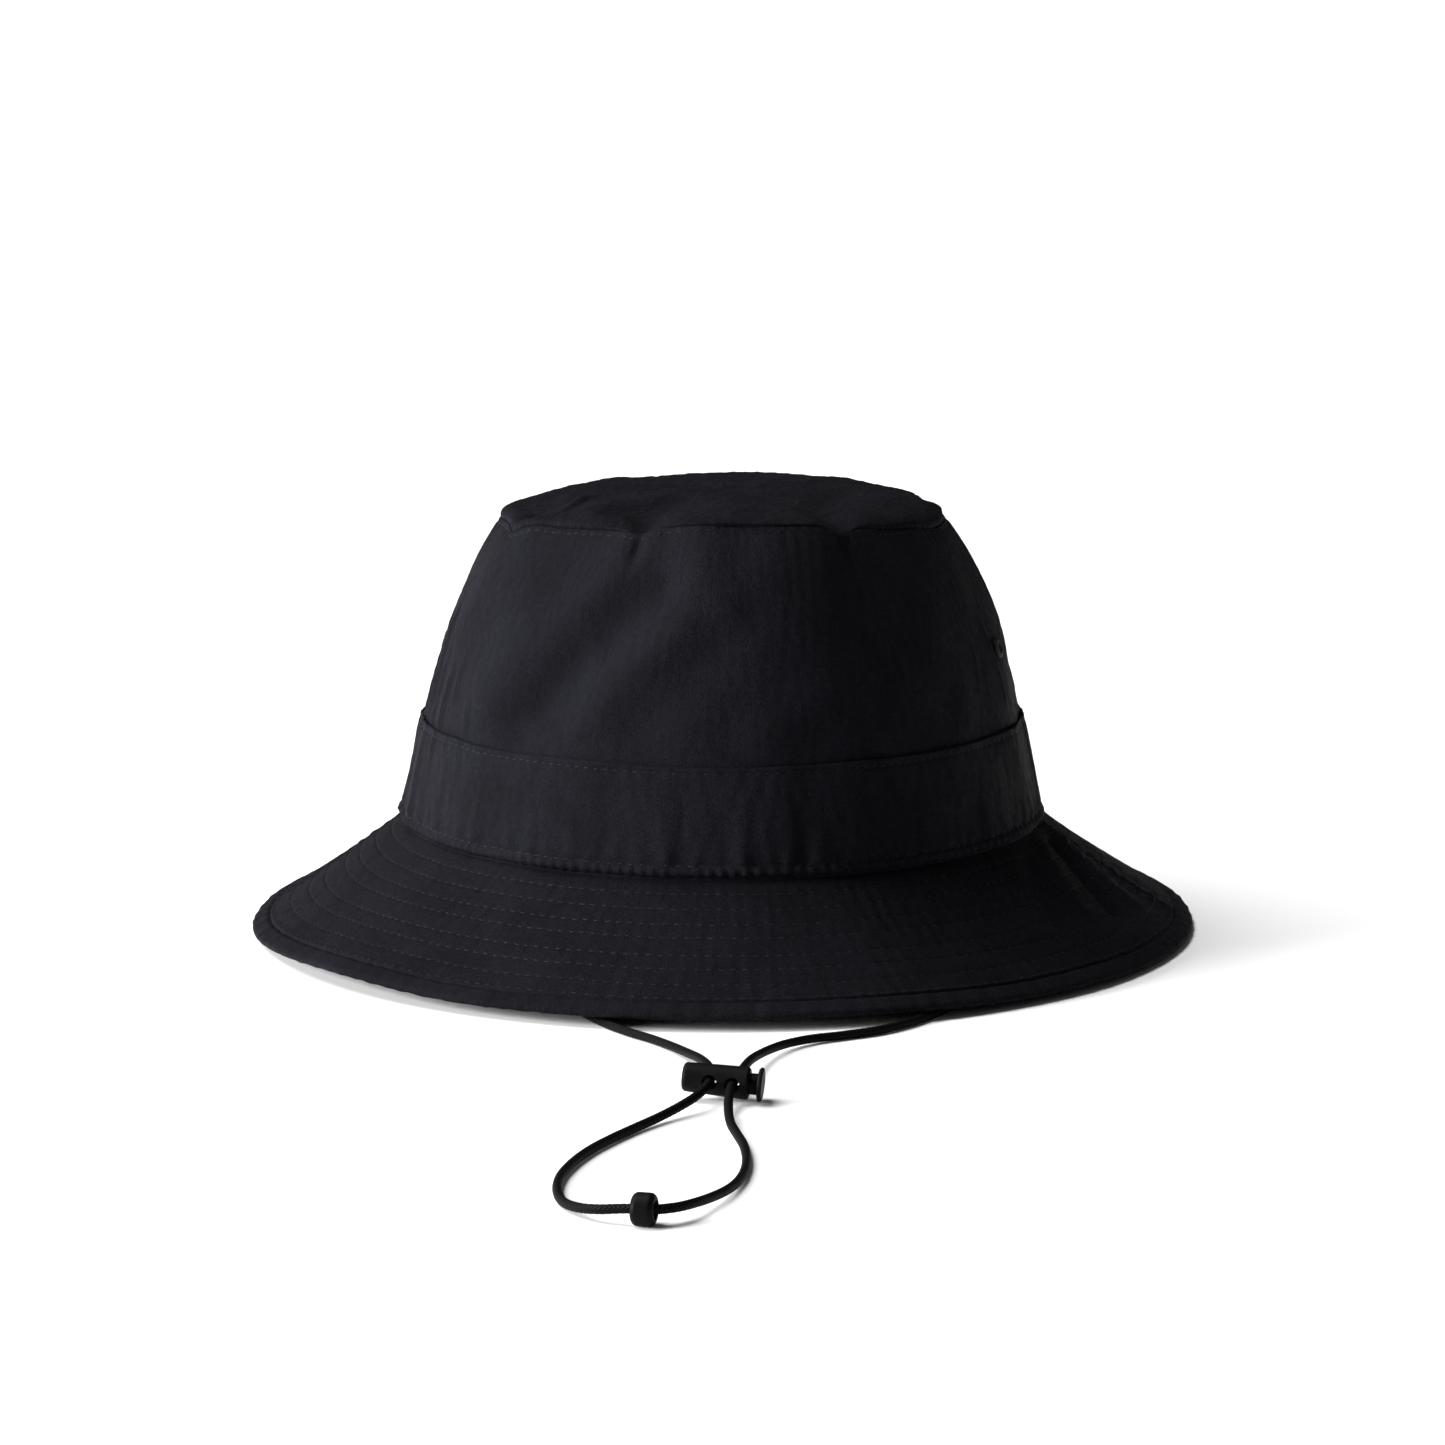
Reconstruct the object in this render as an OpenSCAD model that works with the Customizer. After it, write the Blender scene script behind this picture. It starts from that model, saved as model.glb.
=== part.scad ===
/* [Crown] */
// Half width of the crown where it meets the brim
crown_root_r = 95; // [85:0.5:105]
// Height of the side panels from the brim seam to the tip seam
crown_h = 89.3; // [75:0.1:105]
// Half width lost by the steady taper of the side panels
taper = 17; // [10:0.5:20]
// Half width lost by the rounding-in under the tip seam
round_in = 12; // [6:0.5:14]
// Rise of the domed tip above its seam
tip_rise = 9; // [4:0.5:16]
// Front-to-back length of the plan over its width
oval_ratio = 1.042; // [1:0.002:1.12]
// Thickness of the shell fabric
cloth_t = 0.8; // [0.5:0.1:1.2]

/* [Brim] */
// Length of the brim along its slope
brim_len = 55.5; // [45:0.5:65]
// Slope of the brim at the crown, in degrees below level
slope_root = 37.5; // [34:0.5:45]
// Slope of the brim at its edge
slope_edge = 29.5; // [20:0.5:33]
// Width of the strip that binds the edge
binding_w = 6.5; // [5.5:0.5:14]
// Height by which the front edge rides up over the cord
front_lift = 3; // [2.9:0.1:6]

/* [Band] */
// Height of the folded band around the crown
band_h = 31; // [20:0.5:40]
// Thickness of the folded band
band_t = 1; // [0.6:0.1:1.6]
// Height of the sweatband inside the opening
sweatband_h = 30; // [20:0.5:36]

/* [Cord and lock] */
// Diameter of the elastic cord
cord_d = 2.5; // [2:0.1:2.6]
// Length of the lock's barrel
barrel_len = 17.6; // [17.2:0.1:20]
// Diameter of the lock's barrel at its mouth
barrel_d = 8.7; // [8.5:0.1:9.2]
// Diameter of the barrel at its closed end
barrel_end_d = 7.7; // [7.6:0.1:8.7]
// Distance between the two cord holes
hole_gap = 6; // [6:0.1:6.4]
// Travel of the plunger when it is pressed
press_travel = 2; // [1:0.1:2]
// Turn of the barrel about the vertical
lock_turn = -2; // [-5:1:1]
// Tilt of the barrel, whose button rests on the ground
lock_tilt = 4.5; // [4:0.5:5]
// Diameter of the stop bead
bead_d = 8.2; // [8:0.1:8.4]

/* [Hidden] */

shell_colour = [0.10, 0.10, 0.12];
band_colour = [0.13, 0.13, 0.16];
brim_colour = [0.11, 0.11, 0.14];
lining_colour = [0.20, 0.20, 0.22];
cord_colour = [0.05, 0.05, 0.06];
lock_colour = [0.08, 0.08, 0.08];
spring_colour = [0.70, 0.70, 0.72];
$fn = 48;

// Angle between two neighbouring rows of every sewn shell, in degrees
row_angle = 7.5;
// Gap between two layers of cloth, and between two panels at a seam
layer_gap = 0.15;
fitting_gap = 0.3;
seam_gap_angle = 0.1;

// Layers of the brim, as depths below its upper face
brim_cloth_t = 0.5;
interlining_t = 0.7;
interlining_depth = brim_cloth_t + layer_gap;
under_depth = interlining_depth + interlining_t + layer_gap;
brim_t = under_depth + brim_cloth_t;
brim_gap = 0.3;
nose_len = 1.2;
nose_wall = 0.4;
brim_start_r = crown_root_r + brim_gap;
slope_rate = (slope_root - slope_edge) / brim_len;
binding_out = layer_gap + brim_cloth_t;

function brim_slope(s) = slope_root - slope_rate * s;
function brim_run(s) = (sin(slope_root) - sin(brim_slope(s))) * 180 / (PI * slope_rate);
function brim_drop(s) = (cos(brim_slope(s)) - cos(slope_root)) * 180 / (PI * slope_rate);

// Level of the brim seam that puts the bound edge on the ground
root_z = brim_drop(brim_len - nose_len)
    + (brim_t + binding_out) * cos(brim_slope(brim_len - nose_len));
tip_z = root_z + crown_h;

// Layers inside the crown wall, as depths inwards from its outer face
tape_depth = cloth_t + fitting_gap;
tape_t = 0.5;
sweat_depth = tape_depth + tape_t + fitting_gap;
sweat_t = 0.8;
label_depth = sweat_depth + sweat_t + fitting_gap;
label_t = 0.5;
tab_t = 3.4;
sweat_z = root_z + 1.5;
side_tape_half = 3.2;
side_tape_top = tip_z - 7;
tip_tape_h = 5;
tab_angle = 10;
tab_half = 3.6;
tab_low = root_z - 4;
tab_high = root_z + 8;
label_half = 7;
label_z = sweat_z + 6;
label_h = 18;

// Vents: two a side, about the side seams
vent_z = root_z + 54;
vent_angle = 8.5;
vent_hole_d = 2.8;
vent_ring_d = 6.4;
vent_ring_t = 0.7;
vent_stand_off = 0.25;

function wall_r(z) =
    let (t = (z - root_z) / crown_h)
    crown_root_r - taper * t - round_in * pow(t, 4);
function wall_slope(z) =
    let (t = (z - root_z) / crown_h)
    atan((taper + 4 * round_in * pow(t, 3)) / crown_h);

// How far the brim's edge rides up at an angle around the hat
function lift(angle) =
    let (s = max(0, -sin(angle)))
    front_lift * s * s * (2 - s * s);

// A point of the oval plan: p is [half width, height, share of the lift]
function oval(p, angle) =
    [p[0] * cos(angle), oval_ratio * p[0] * sin(angle), p[1] + p[2] * lift(angle)];

// A point s along the brim's slope and depth below its upper face
function brim_point(s, depth) =
    [
        brim_start_r + brim_run(s) - depth * sin(brim_slope(s)),
        root_z - brim_drop(s) - depth * cos(brim_slope(s)),
        pow(s / brim_len, 1.5)
    ];

// Skins a stack of equal loops of points, joined end to end or capped. A cap is a ladder of quads
// between the two halves of its loop, so a thin bent section is capped without overlaps
module loft(loops, joined = false) {
    k = len(loops[0]);
    n = len(loops);
    last = joined ? n - 1 : n - 2;
    sides = [
        for (j = [0:last], i = [0:k - 1])
            let (a = j * k + i)
            let (b = j * k + (i + 1) % k)
            let (c = ((j + 1) % n) * k + (i + 1) % k)
            let (d = ((j + 1) % n) * k + i)
            each [[a, b, c], [a, c, d]]
    ];
    last_loop = (n - 1) * k;
    caps = [
        for (i = [0:k / 2 - 2])
            each [
                [k - 1 - i, k - 2 - i, i + 1, i],
                [last_loop + i, last_loop + i + 1, last_loop + k - 2 - i, last_loop + k - 1 - i]
            ]
    ];
    polyhedron([for (l = loops) each l], concat(sides, joined ? [] : caps));
}

// Sweeps a closed section around the oval plan, over part of the turn or all of it
module sweep(section, from = 0, to = 360) {
    whole = to - from >= 360;
    steps = ceil((to - from) / row_angle - 0.1);
    rows = whole ? steps - 1 : steps;
    loft(
        [for (j = [0:rows]) let (a = from + j * (to - from) / steps) [for (p = section) oval(p, a)]],
        whole
    );
}

// Section of a layer of the crown wall between two heights and two depths
function wall_section(low, high, depth, t, n = 8) =
    let (zs = [for (i = [0:n]) low + (high - low) * i / n])
    concat(
        [for (z = zs) [wall_r(z) - depth, z, 0]],
        [for (i = [n:-1:0]) [wall_r(zs[i]) - depth - t, zs[i], 0]]
    );

// Section of a layer of the brim between two places along its slope
function brim_section(s0, s1, depth, t, n = 7) =
    let (ss = [for (i = [0:n]) s0 + (s1 - s0) * i / n])
    concat(
        [for (i = [n:-1:0]) brim_point(ss[i], depth)],
        [for (s = ss) brim_point(s, depth + t)]
    );

module front_half(section) {
    sweep(section, 180 + seam_gap_angle, 360 - seam_gap_angle);
}

module back_half(section) {
    sweep(section, seam_gap_angle, 180 - seam_gap_angle);
}

// Stands a child on the crown wall, with its +Z along the wall's outward normal
module on_wall(angle, z, out = 0) {
    r = wall_r(z);
    tilt = wall_slope(z);
    heading = atan2(oval_ratio * sin(angle), cos(angle));
    translate([r * cos(angle), oval_ratio * r * sin(angle), z])
        rotate([0, 90 - tilt, heading])
            translate([0, 0, out])
                children();
}

// --- Crown ---

crown_section = wall_section(root_z, tip_z, 0, cloth_t, 12);

module vent_holes(at) {
    reach = 3;
    for (side = [-1, 1])
        on_wall(at + side * vent_angle, vent_z, -reach)
            cylinder(h = 2 * reach, d = vent_hole_d);
}

module crown_front() {
    color(shell_colour)
        difference() {
            front_half(crown_section);
            vent_holes(0);
            vent_holes(180);
        }
}

module crown_back() {
    color(shell_colour)
        difference() {
            back_half(crown_section);
            vent_holes(0);
            vent_holes(180);
        }
}

// The domed oval panel, from the middle of its lower face round its rim to the middle of its upper one
module crown_tip() {
    shares = [0.12, 0.4, 0.62, 0.8, 0.92, 0.98, 1];
    r_top = wall_r(tip_z);
    r_low = r_top - cloth_t;
    base = tip_z + layer_gap;
    function dome(r, rise, u) = [r * u, base + rise * sqrt(1 - u * u), 0];
    lower = [for (u = shares) dome(r_low, tip_rise - cloth_t, u)];
    upper = [for (i = [len(shares) - 1:-1:0]) dome(r_top, tip_rise, shares[i])];
    color(shell_colour)
        loft([for (p = concat(lower, upper)) [for (a = [0:row_angle:359]) oval(p, a)]]);
}

module tip_seam_tape() {
    low = tip_z - 0.5 - tip_tape_h;
    color(lining_colour) sweep(wall_section(low, low + tip_tape_h, tape_depth, tape_t, 2));
}

module side_seam_tape(at) {
    color(lining_colour)
        sweep(
            wall_section(sweat_z, side_tape_top, tape_depth, tape_t, 10),
            at - side_tape_half,
            at + side_tape_half
        );
}

module side_seam_tape_left() {
    side_seam_tape(180);
}

module side_seam_tape_right() {
    side_seam_tape(0);
}

// Two stitched rings, one on each side of a side seam
module vent_eyelets(at) {
    half = vent_ring_t / 2;
    color(cord_colour)
        for (side = [-1, 1])
            on_wall(at + side * vent_angle, vent_z, vent_stand_off)
                rotate_extrude()
                    translate([vent_hole_d / 2, 0])
                        polygon([
                            [0, 0], [(vent_ring_d - vent_hole_d) / 2, 0],
                            [(vent_ring_d - vent_hole_d) / 2 - half, vent_ring_t], [half, vent_ring_t]
                        ]);
}

module vent_eyelets_left() {
    vent_eyelets(180);
}

module vent_eyelets_right() {
    vent_eyelets(0);
}

// --- Band round the crown ---

band_section = wall_section(
    root_z + 0.5, root_z + 0.5 + band_h, -band_t - layer_gap, band_t, 4
);

module hat_band_front() {
    color(band_colour) front_half(band_section);
}

module hat_band_back() {
    color(band_colour) back_half(band_section);
}

// --- Brim ---

brim_end = brim_len - nose_len - layer_gap;
brim_top_section = brim_section(0, brim_end, 0, brim_cloth_t);
brim_under_section = brim_section(0, brim_end, under_depth, brim_cloth_t);

module brim_top_front() {
    color(brim_colour) front_half(brim_top_section);
}

module brim_top_back() {
    color(brim_colour) back_half(brim_top_section);
}

module brim_interlining() {
    color(lining_colour) sweep(brim_section(0, brim_end, interlining_depth, interlining_t));
}

module brim_under_front() {
    color(brim_colour) front_half(brim_under_section);
}

module brim_under_back() {
    color(brim_colour) back_half(brim_under_section);
}

// A folded strip around the edge, open towards the crown
module brim_edge_binding() {
    legs = [for (i = [0:2]) brim_len - binding_w + i * (binding_w - nose_len) / 2];
    inner_end = brim_len - nose_wall;
    mid = brim_t / 2;
    inside = [
        for (s = legs) brim_point(s, brim_t + layer_gap)
    ];
    top_in = [
        for (i = [2:-1:0]) brim_point(legs[i], -layer_gap)
    ];
    top_out = [
        for (s = legs) brim_point(s, -binding_out)
    ];
    low_out = [
        for (i = [2:-1:0]) brim_point(legs[i], brim_t + binding_out)
    ];
    color(band_colour)
        sweep(concat(
            low_out, inside, [brim_point(inner_end, mid)], top_in, top_out, [brim_point(brim_len, mid)]
        ));
}

// --- Inside the opening ---

module sweatband() {
    color(lining_colour)
        sweep(wall_section(sweat_z, sweat_z + sweatband_h, sweat_depth, sweat_t, 4));
}

module size_label() {
    color("white")
        sweep(
            wall_section(label_z, label_z + label_h, label_depth, label_t, 3),
            90 - label_half,
            90 + label_half
        );
}

module cord_tab(at) {
    color(band_colour)
        sweep(wall_section(tab_low, tab_high, label_depth, tab_t, 2), at - tab_half, at + tab_half);
}

module cord_tab_left() {
    cord_tab(180 + tab_angle);
}

module cord_tab_right() {
    cord_tab(-tab_angle);
}

// --- Chin cord ---

// Heights of the cord's centre: on the ground, and through the bead
ground = 1.3;
bead_z = bead_d / 2;

// From the left tab, down to the ground, under the front edge, through the lock and round to the bead
left_route = [
    [-88, -16, 33], [-88, -17, 26], [-87, -20, 18], [-85, -24, 10.5], [-82, -30, 4.5], [-78, -38, 1.6],
    [-73, -48, ground], [-67, -59, ground], [-60, -70, ground], [-53, -81, ground], [-46, -92, ground],
    [-39.5, -103, ground], [-34, -114, ground], [-28.5, -125, ground], [-22.5, -136, ground],
    [-16, -146, ground], [-9, -154.3, ground], [-2, -161.5, ground], [4.3, -170, 1.5],
    [9.6, -180.5, 2.4], [14, -192, 3.8], [17.3, -203.5, 5.1], [19.6, -213, 5.6], [20.4, -218, 5.7],
    [20.3, -222, 5.7], [20.2, -226, 5.6], [19.3, -230, 4.9], [17, -235, 3.7], [13, -241.5, 2.4],
    [9, -248.5, 1.6], [4.4, -258, ground], [-0.2, -269.5, ground], [-4.1, -281.5, ground],
    [-6.7, -294.5, ground], [-7.7, -307.5, ground], [-6.6, -319.7, ground], [-3.5, -330.4, 1.5],
    [1.3, -337.7, 2.3], [6.3, -341.7, 3.2], [11, -343, 3.8], [14.3, -343.7, 4.1], [17.5, -344, 4.1]
];

// From the right tab, down to the ground, under the front edge, through the lock and round to the bead
right_route = [
    [88, -16, 33], [88, -17.5, 26], [88.5, -20, 19], [89, -24, 12.5], [89.3, -30, 7], [89.3, -37, 3.2],
    [88.7, -46, 1.5], [87.5, -58, ground], [85.8, -71, ground], [83.7, -84, ground], [81, -97, ground],
    [77.3, -110, ground], [72.3, -122.5, ground], [66, -134.3, ground], [58, -144.5, ground],
    [49, -151.3, ground], [41, -157, 1.5], [35, -165, 1.9], [31.5, -175, 2.7], [29.2, -186, 3.7],
    [27.9, -197, 4.7], [27.2, -207, 5.1], [26.6, -213.5, 5.2], [26.4, -218, 5.2], [26.3, -222, 5.2],
    [26.2, -226, 5.1], [26.1, -230.5, 4.4], [26.4, -236.5, 3.2], [27.3, -244, 2], [28.8, -252, 1.4],
    [31.2, -261, ground], [34, -272, ground], [36, -285, ground], [36.6, -297.5, ground],
    [35.8, -308.5, 1.5], [34, -318.5, 2.1], [31.3, -327.5, 2.8], [28.6, -334.7, 3.5],
    [25.4, -340.1, 3.9], [21.4, -343.3, 4.1], [17.5, -344, 4.1]
];

// A tube of round section swept along a route
module tube(route, d, sides = 8) {
    n = len(route) - 1;
    function heading(i) =
        let (a = route[max(0, i - 1)])
        let (b = route[min(n, i + 1)])
        (b - a) / norm(b - a);
    loft([
        for (i = [0:n])
            let (h = heading(i))
            let (level = [-h[1], h[0], 0] / norm([h[0], h[1]]))
            let (up = cross(h, level))
            [
                for (j = [0:sides - 1])
                    let (a = -j * 360 / sides)
                    route[i] + d / 2 * (cos(a) * level + sin(a) * up)
            ]
    ]);
}

module chin_cord_left() {
    color(cord_colour) tube(left_route, cord_d);
}

module chin_cord_right() {
    color(cord_colour) tube(right_route, cord_d);
}

bead_pos = [17.5, -344, bead_z];
bead_turn = -8;
bead_len = 5.8;
mouth_flare = 0.9;
cord_hole_r = cord_d / 2 + 0.3;

// An arc of points about a centre
function arc(centre, r, from, to, n = 6) =
    [for (i = [0:n]) let (a = from + (to - from) * i / n) centre + r * [cos(a), sin(a)]];

// A rounded bead whose hole widens from its middle to both mouths, so the cord can bend in it
module cord_stop_bead() {
    soft = 1.5;
    half = bead_len / 2;
    r = bead_d / 2;
    color(lock_colour)
        translate(bead_pos)
            rotate([0, 90, bead_turn])
                rotate_extrude()
                    polygon(concat(
                        [[cord_hole_r, 0], [cord_hole_r + mouth_flare, -half]],
                        arc([r - soft, soft - half], soft, -90, 0),
                        arc([r - soft, half - soft], soft, 0, 90),
                        [[cord_hole_r + mouth_flare, half]]
                    ));
}

// --- Cord lock: local +X runs from the closed end to the button ---

barrel_low = -10.4;
barrel_high = barrel_low + barrel_len;
end_wall = 1.6;
bore_r = 3.1;
plunger_r = bore_r - 0.1;
hole_r = 2;
slot_r = 1.4;
plunger_low = -6.2;
neck_r = 2.8;
neck_len = 2.3;
button_t = 1.2;
button_r = 4.5;
spring_wire = 0.5;
spring_r = 2.3;

// Level of the lock's axis between its holes, with the button's rim just clear of the ground
rim_gap = 0.1;
rim_x = barrel_high + neck_len + button_t;
lock_z = rim_x * sin(lock_tilt) + button_r * cos(lock_tilt) + rim_gap;
lock_pos = [23.3, -222, lock_z];

module at_lock() {
    translate(lock_pos)
        rotate([0, lock_tilt, lock_turn])
            children();
}

// A solid of revolution about local X, from a profile of [radius, place along X]
module turned(profile) {
    rotate([0, 90, 0])
        rotate_extrude()
            polygon(profile);
}

module cord_hole(x, r) {
    translate([x, barrel_d, 0])
        rotate([90, 0, 0])
            cylinder(h = 2 * barrel_d, r = r);
}

module cord_lock_barrel() {
    r = barrel_d / 2;
    end_r = barrel_end_d / 2;
    soft = 1.2;
    lip = 0.6;
    color(lock_colour)
        at_lock()
            difference() {
                turned(concat(
                    [[0, barrel_low]],
                    arc([end_r - soft, barrel_low + soft], soft, -90, 0),
                    [[r, barrel_high - lip], [r - lip, barrel_high], [0, barrel_high]]
                ));
                translate([barrel_low + end_wall, 0, 0])
                    rotate([0, 90, 0])
                        cylinder(h = barrel_len, r = bore_r);
                for (side = [-1, 1])
                    cord_hole(side * hole_gap / 2, hole_r);
            }
}

// A slot that lets the plunger travel past the cord
module cord_slot(x) {
    low = x;
    high = x + press_travel;
    cord_hole(low, slot_r);
    cord_hole(high, slot_r);
    translate([low, -barrel_d, -slot_r])
        cube([high - low, 2 * barrel_d, 2 * slot_r]);
}

module cord_lock_plunger() {
    shoulder = barrel_high - 1;
    button_low = barrel_high + neck_len;
    edge = 0.4;
    color(lock_colour)
        at_lock()
            difference() {
                turned([
                    [0, plunger_low], [plunger_r, plunger_low], [plunger_r, shoulder],
                    [neck_r, shoulder], [neck_r, button_low],
                    [button_r - edge, button_low], [button_r, button_low + edge],
                    [button_r, button_low + button_t - edge], [button_r - edge, button_low + button_t],
                    [0, button_low + button_t]
                ]);
                for (side = [-1, 1])
                    cord_slot(side * hole_gap / 2);
            }
}

module cord_lock_spring() {
    turns = 3;
    per_turn = 12;
    clear = 0.1;
    low = barrel_low + end_wall + clear + spring_wire / 2;
    high = plunger_low - clear - spring_wire / 2;
    n = turns * per_turn;
    coil = [
        for (i = [0:n])
            let (a = 360 * i / per_turn)
            [spring_r * cos(a), spring_r * sin(a), low + (high - low) * i / n]
    ];
    color(spring_colour)
        at_lock()
            rotate([0, 90, 0])
                tube(coil, spring_wire, 6);
}

crown_tip();
crown_front();
crown_back();
tip_seam_tape();
side_seam_tape_left();
side_seam_tape_right();
vent_eyelets_left();
vent_eyelets_right();
hat_band_front();
hat_band_back();
brim_top_front();
brim_top_back();
brim_interlining();
brim_under_front();
brim_under_back();
brim_edge_binding();
sweatband();
size_label();
cord_tab_left();
cord_tab_right();
chin_cord_left();
chin_cord_right();
cord_stop_bead();
cord_lock_barrel();
cord_lock_plunger();
cord_lock_spring();
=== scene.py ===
import bpy
import numpy as np
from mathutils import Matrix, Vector


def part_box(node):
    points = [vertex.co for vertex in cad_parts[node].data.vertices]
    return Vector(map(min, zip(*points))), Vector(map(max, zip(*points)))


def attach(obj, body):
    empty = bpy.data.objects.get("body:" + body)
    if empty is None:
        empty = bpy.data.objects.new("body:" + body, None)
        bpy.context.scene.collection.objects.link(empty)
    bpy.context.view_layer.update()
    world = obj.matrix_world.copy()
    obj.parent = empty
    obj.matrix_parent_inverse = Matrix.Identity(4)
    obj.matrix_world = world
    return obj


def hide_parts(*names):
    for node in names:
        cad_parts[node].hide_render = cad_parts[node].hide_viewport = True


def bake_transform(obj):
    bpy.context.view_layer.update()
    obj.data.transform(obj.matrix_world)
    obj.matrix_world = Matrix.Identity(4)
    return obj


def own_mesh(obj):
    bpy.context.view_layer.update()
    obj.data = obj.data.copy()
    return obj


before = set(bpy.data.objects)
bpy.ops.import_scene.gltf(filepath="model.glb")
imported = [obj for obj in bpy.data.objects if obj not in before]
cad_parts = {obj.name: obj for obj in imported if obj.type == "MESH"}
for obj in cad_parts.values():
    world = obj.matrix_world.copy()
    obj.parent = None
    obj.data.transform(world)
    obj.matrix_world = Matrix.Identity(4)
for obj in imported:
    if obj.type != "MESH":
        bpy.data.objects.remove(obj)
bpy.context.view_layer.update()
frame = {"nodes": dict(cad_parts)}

# Lengths below are in millimetres and become metres when a mesh is made. Angles run around +Z from +X,
# so -90 degrees is the front of the hat.
MM = 0.001


def box_mm(node):
    lo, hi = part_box(node)
    return np.array(lo) / MM, np.array(hi) / MM


# --- Sizes of the hat, from the frame ---

crown_lo, crown_hi = box_mm("crown_front")
ROOT_Z = crown_lo[2]
SEAM_Z = crown_hi[2]
CROWN_H = SEAM_Z - ROOT_Z
ROOT_R = crown_hi[0]
DOME_Z = box_mm("crown_tip")[1][2]
OVAL = -crown_lo[1] / crown_hi[0]
BAND_TOP = box_mm("hat_band_front")[1][2] - ROOT_Z

# Profile of the crown wall, as in the CAD model
TAPER = 17
ROUND_IN = 12
CLOTH = 0.8
SEAM_LOW = 85.6
SEAM_FRONT_RISE = 10.2
SEAM_BACK_RISE = 6.8
SEAM_STITCH = 1.3
DOME_POWER = 0.38

# Profile of the brim, as in the CAD model
BRIM_LEN = 55.5
SLOPE_ROOT = np.radians(37.5)
SLOPE_EDGE = np.radians(29.5)
SLOPE_RATE = (SLOPE_ROOT - SLOPE_EDGE) / BRIM_LEN
FRONT_LIFT = 3
BRIM_T = 2.0
BINDING_S = 49.0
BRIM_ROWS = (4.9, 10.8, 16.9, 22.2, 29.5, 35.2, 41.8)
SEAM_ROW = 47.9
EDGE_SQUEEZE = 0.3
FLOOR_GAP = 0.03
PITCH = 3.35
WALL_MM_PER_DEG = 1.43
BRIM_MM_PER_DEG = 1.9

# Faces of the layers, as depths below the outside of the crown wall
BAND_DEPTHS = (-1.15, -0.15)
TAPE_DEPTHS = (1.1, 1.6)
SWEAT_DEPTHS = (1.9, 2.7)
LABEL_DEPTHS = (3.0, 3.5)
TAB_DEPTHS = (3.0, 6.4)

# The band's two rows of stitches: the upper one below its top edge, the lower one above the brim seam
BAND_TOP_ROW = BAND_TOP - 1.9
BAND_LOW_ROW = 4.0
TIGHT_PITCH = 2.9


# --- Camera ---

def make_camera():
    data = bpy.data.cameras.new("camera")
    data.lens = 130.2
    data.sensor_width = 36
    data.clip_end = 20
    camera = bpy.data.objects.new("camera", data)
    camera.location = (0.1613, -1.5346, 0.334)
    camera.rotation_euler = (np.radians(90 - 10.06), 0, np.radians(6))
    bpy.context.collection.objects.link(camera)
    bpy.context.scene.camera = camera


make_camera()


# --- Materials ---

def new_material(name, roughness, specular=0.3, ior=1.45):
    mat = bpy.data.materials.new(name)
    mat.use_nodes = True
    shader = mat.node_tree.nodes["Principled BSDF"]
    shader.inputs["Roughness"].default_value = roughness
    shader.inputs["Specular IOR Level"].default_value = specular
    shader.inputs["IOR"].default_value = ior
    return mat, mat.node_tree, shader


def link(tree, a, b):
    tree.links.new(a, b)


def cloth_coords(tree, scale):
    """The cloth attribute, in millimetres along and across a piece, stretched by scale."""
    attr = tree.nodes.new("ShaderNodeAttribute")
    attr.attribute_name = "cloth"
    mapping = tree.nodes.new("ShaderNodeMapping")
    mapping.inputs["Scale"].default_value = scale
    link(tree, attr.outputs["Vector"], mapping.inputs["Vector"])
    return mapping.outputs["Vector"]


def noise(tree, coords, detail=3, rough=0.55, distortion=0):
    node = tree.nodes.new("ShaderNodeTexNoise")
    node.inputs["Scale"].default_value = 1
    node.inputs["Detail"].default_value = detail
    node.inputs["Roughness"].default_value = rough
    node.inputs["Distortion"].default_value = distortion
    link(tree, coords, node.inputs["Vector"])
    return node.outputs["Fac"]


def bands(tree, coords, scale, distortion=0):
    """Slanting bands, for twisted, twilled and braided yarn."""
    node = tree.nodes.new("ShaderNodeTexWave")
    node.wave_type = "BANDS"
    node.bands_direction = "DIAGONAL"
    node.inputs["Scale"].default_value = scale
    node.inputs["Distortion"].default_value = distortion
    link(tree, coords, node.inputs["Vector"])
    return node.outputs["Fac"]


def object_noise(tree, scale, detail=2):
    """Noise in the frame's own metres, for the hard pieces."""
    coords = tree.nodes.new("ShaderNodeTexCoord")
    node = tree.nodes.new("ShaderNodeTexNoise")
    node.inputs["Scale"].default_value = scale
    node.inputs["Detail"].default_value = detail
    link(tree, coords.outputs["Object"], node.inputs["Vector"])
    return node.outputs["Fac"]


def ramp(tree, fac, stops):
    node = tree.nodes.new("ShaderNodeValToRGB")
    ends = node.color_ramp.elements
    ends[0].position, ends[0].color = stops[0][0], (*stops[0][1], 1)
    ends[1].position, ends[1].color = stops[-1][0], (*stops[-1][1], 1)
    for place, colour in stops[1:-1]:
        ends.new(place).color = (*colour, 1)
    link(tree, fac, node.inputs["Fac"])
    return node.outputs["Color"]


def mix(tree, kind, fac, a, b):
    node = tree.nodes.new("ShaderNodeMix")
    node.data_type = "RGBA"
    node.blend_type = kind
    node.inputs["Factor"].default_value = fac
    link(tree, a, node.inputs["A"])
    link(tree, b, node.inputs["B"])
    return node.outputs["Result"]


def to_range(tree, value, low, high):
    node = tree.nodes.new("ShaderNodeMapRange")
    node.inputs["From Min"].default_value = 0.3
    node.inputs["From Max"].default_value = 0.7
    node.inputs["To Min"].default_value = low
    node.inputs["To Max"].default_value = high
    link(tree, value, node.inputs["Value"])
    return node.outputs["Result"]


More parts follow.
